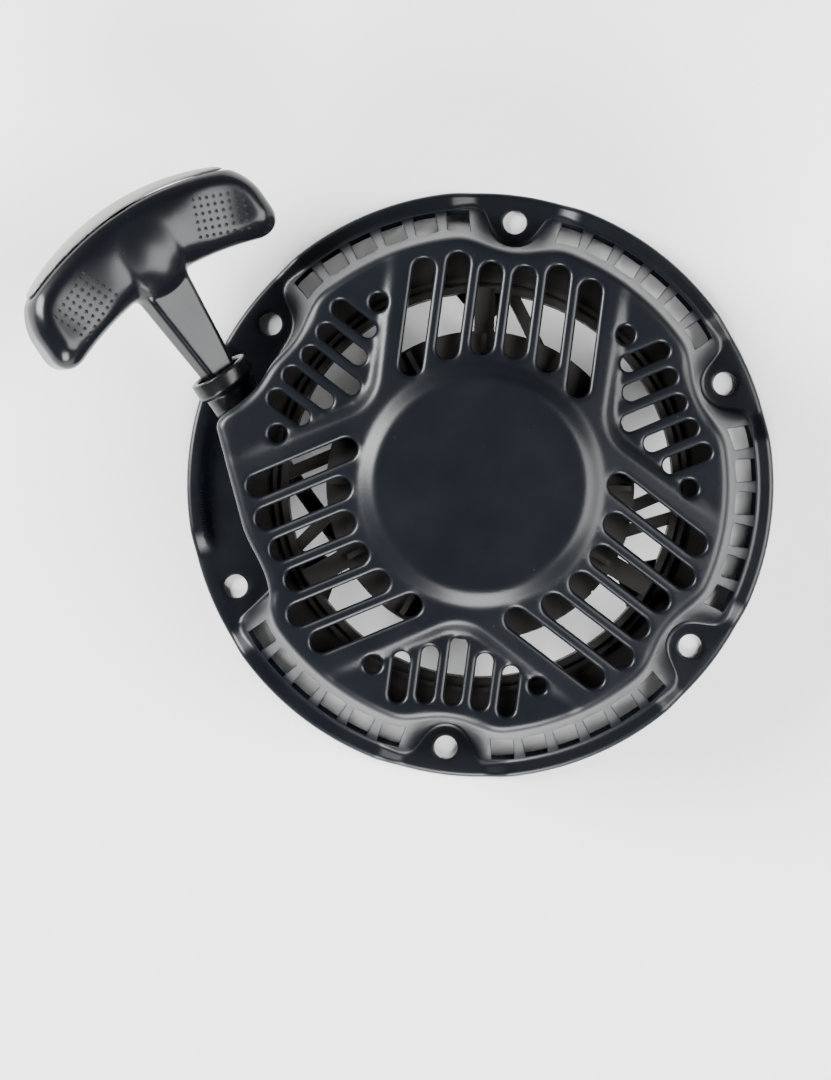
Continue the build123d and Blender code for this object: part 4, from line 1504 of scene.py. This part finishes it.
class STARTER_OT_fittings(bpy.types.Operator):
    """Gives every remaining part of the model its finish"""

    bl_idname = "starter.fittings"
    bl_label = "Inner parts"

    def execute(self, context):
        slots = {part["node"]: part["material_slot"] for part in RECORD["subparts"]}
        for name, node in frame["nodes"].items():
            material = finish_of(slots[name])
            if node.data.materials:
                for i in range(len(node.data.materials)):
                    node.data.materials[i] = material
            else:
                node.data.materials.append(material)
        return {"FINISHED"}


class STARTER_PT_panel(bpy.types.Panel):
    """Lists the starter's settings and pieces"""

    bl_label = "Recoil Starter"
    bl_idname = "STARTER_PT_panel"
    bl_space_type = "VIEW_3D"
    bl_region_type = "UI"
    bl_category = "Starter"

    def draw(self, context):
        for group in ("starter_cover", "starter_grip", "starter_rope", "starter_stage"):
            settings = getattr(context.scene, group)
            box = self.layout.box()
            for name in settings.__annotations__:
                box.prop(settings, name)
        for operator in OPERATORS:
            self.layout.operator(operator.bl_idname)


SETTINGS = {
    "starter_cover": StarterCoverSettings,
    "starter_grip": StarterGripSettings,
    "starter_rope": StarterRopeSettings,
    "starter_stage": StarterStageSettings,
}
OPERATORS = (
    STARTER_OT_stage,
    STARTER_OT_rope,
    STARTER_OT_knots,
    STARTER_OT_cover,
    STARTER_OT_rope_guide,
    STARTER_OT_grip,
    STARTER_OT_grip_dots,
    STARTER_OT_springs,
    STARTER_OT_fittings,
)


def register():
    """Makes the settings, operators and panel known to Blender."""
    for name, group in SETTINGS.items():
        bpy.utils.register_class(group)
        setattr(bpy.types.Scene, name, PointerProperty(type=group))
    for kind in (*OPERATORS, STARTER_PT_panel):
        bpy.utils.register_class(kind)


def unregister():
    """Takes them away again."""
    for kind in (STARTER_PT_panel, *reversed(OPERATORS)):
        bpy.utils.unregister_class(kind)
    for name, group in SETTINGS.items():
        delattr(bpy.types.Scene, name)
        bpy.utils.unregister_class(group)


# ---- Stage ----


def add_camera(context, height):
    """A camera straight above the cover, framed so that the grip is in view."""
    camera = bpy.data.cameras.new("camera")
    camera.sensor_width = 36
    camera.lens = 68.0 * height / 0.65
    camera.shift_x, camera.shift_y = -0.06, -0.051
    camera.dof.use_dof = False
    holder = bpy.data.objects.new("camera", camera)
    holder.location = (0, 0, height)
    context.scene.collection.objects.link(holder)
    context.scene.camera = holder


def add_floor(context, colour):
    """The pale floor that the flange lies on."""
    reach, drop = 3.0, -0.0004
    mesh = bpy.data.meshes.new("floor")
    corners = [(-reach, -reach, drop), (reach, -reach, drop), (reach, reach, drop), (-reach, reach, drop)]
    mesh.from_pydata(corners, [], [(0, 1, 2, 3)])
    floor = bpy.data.objects.new("floor", mesh)
    context.scene.collection.objects.link(floor)
    paint = Paint("floor_paper")
    tone = paint.noise(60, 3.0)
    surface = paint.mix(tone, rgba(colour, 0.985), rgba(colour, 1.01))
    mesh.materials.append(paint.finish(Base_Color=surface, Roughness=tone * 0.1 + 0.6))


LAMPS = (
    ("left_softbox", (-1.8, 0.7, 1.0), 1.1, 176.0),
    ("right_softbox", (1.6, -0.1, 1.32), 1.5, 108.0),
    ("front_softbox", (0.0, -1.9, 0.9), 1.1, 120.0),
)


def add_lights(context, level):
    """Softboxes low at the sides, aimed at the middle of the cover."""
    for name, place, size, power in LAMPS:
        lamp = bpy.data.lights.new(name, "AREA")
        lamp.energy = power * level
        lamp.size = size
        holder = bpy.data.objects.new(name, lamp)
        holder.location = place
        holder.rotation_euler = (-Vector(place)).to_track_quat("-Z", "Y").to_euler()
        context.scene.collection.objects.link(holder)


def add_surroundings(context):
    """A studio room: bright at the level of the floor, dark overhead."""
    world = bpy.data.worlds.new("studio")
    world.use_nodes = True
    tree = world.node_tree
    tree.nodes.clear()
    place = tree.nodes.new("ShaderNodeTexCoord")
    split = tree.nodes.new("ShaderNodeSeparateXYZ")
    level = tree.nodes.new("ShaderNodeMapRange")
    light = tree.nodes.new("ShaderNodeBackground")
    output = tree.nodes.new("ShaderNodeOutputWorld")
    level.inputs["From Min"].default_value = 0.25
    level.inputs["From Max"].default_value = 0.62
    level.inputs["To Min"].default_value = 0.25
    level.inputs["To Max"].default_value = 0.015
    tree.links.new(place.outputs["Generated"], split.inputs[0])
    tree.links.new(split.outputs[2], level.inputs["Value"])
    tree.links.new(level.outputs[0], light.inputs["Strength"])
    tree.links.new(light.outputs[0], output.inputs["Surface"])
    light.inputs["Color"].default_value = (1, 1, 1, 1)
    context.scene.world = world


def main():
    """Builds everything in order."""
    register()
    for operator in OPERATORS:
        group, name = operator.bl_idname.split(".")
        getattr(getattr(bpy.ops, group), name)()


if __name__ == "__main__":
    main()
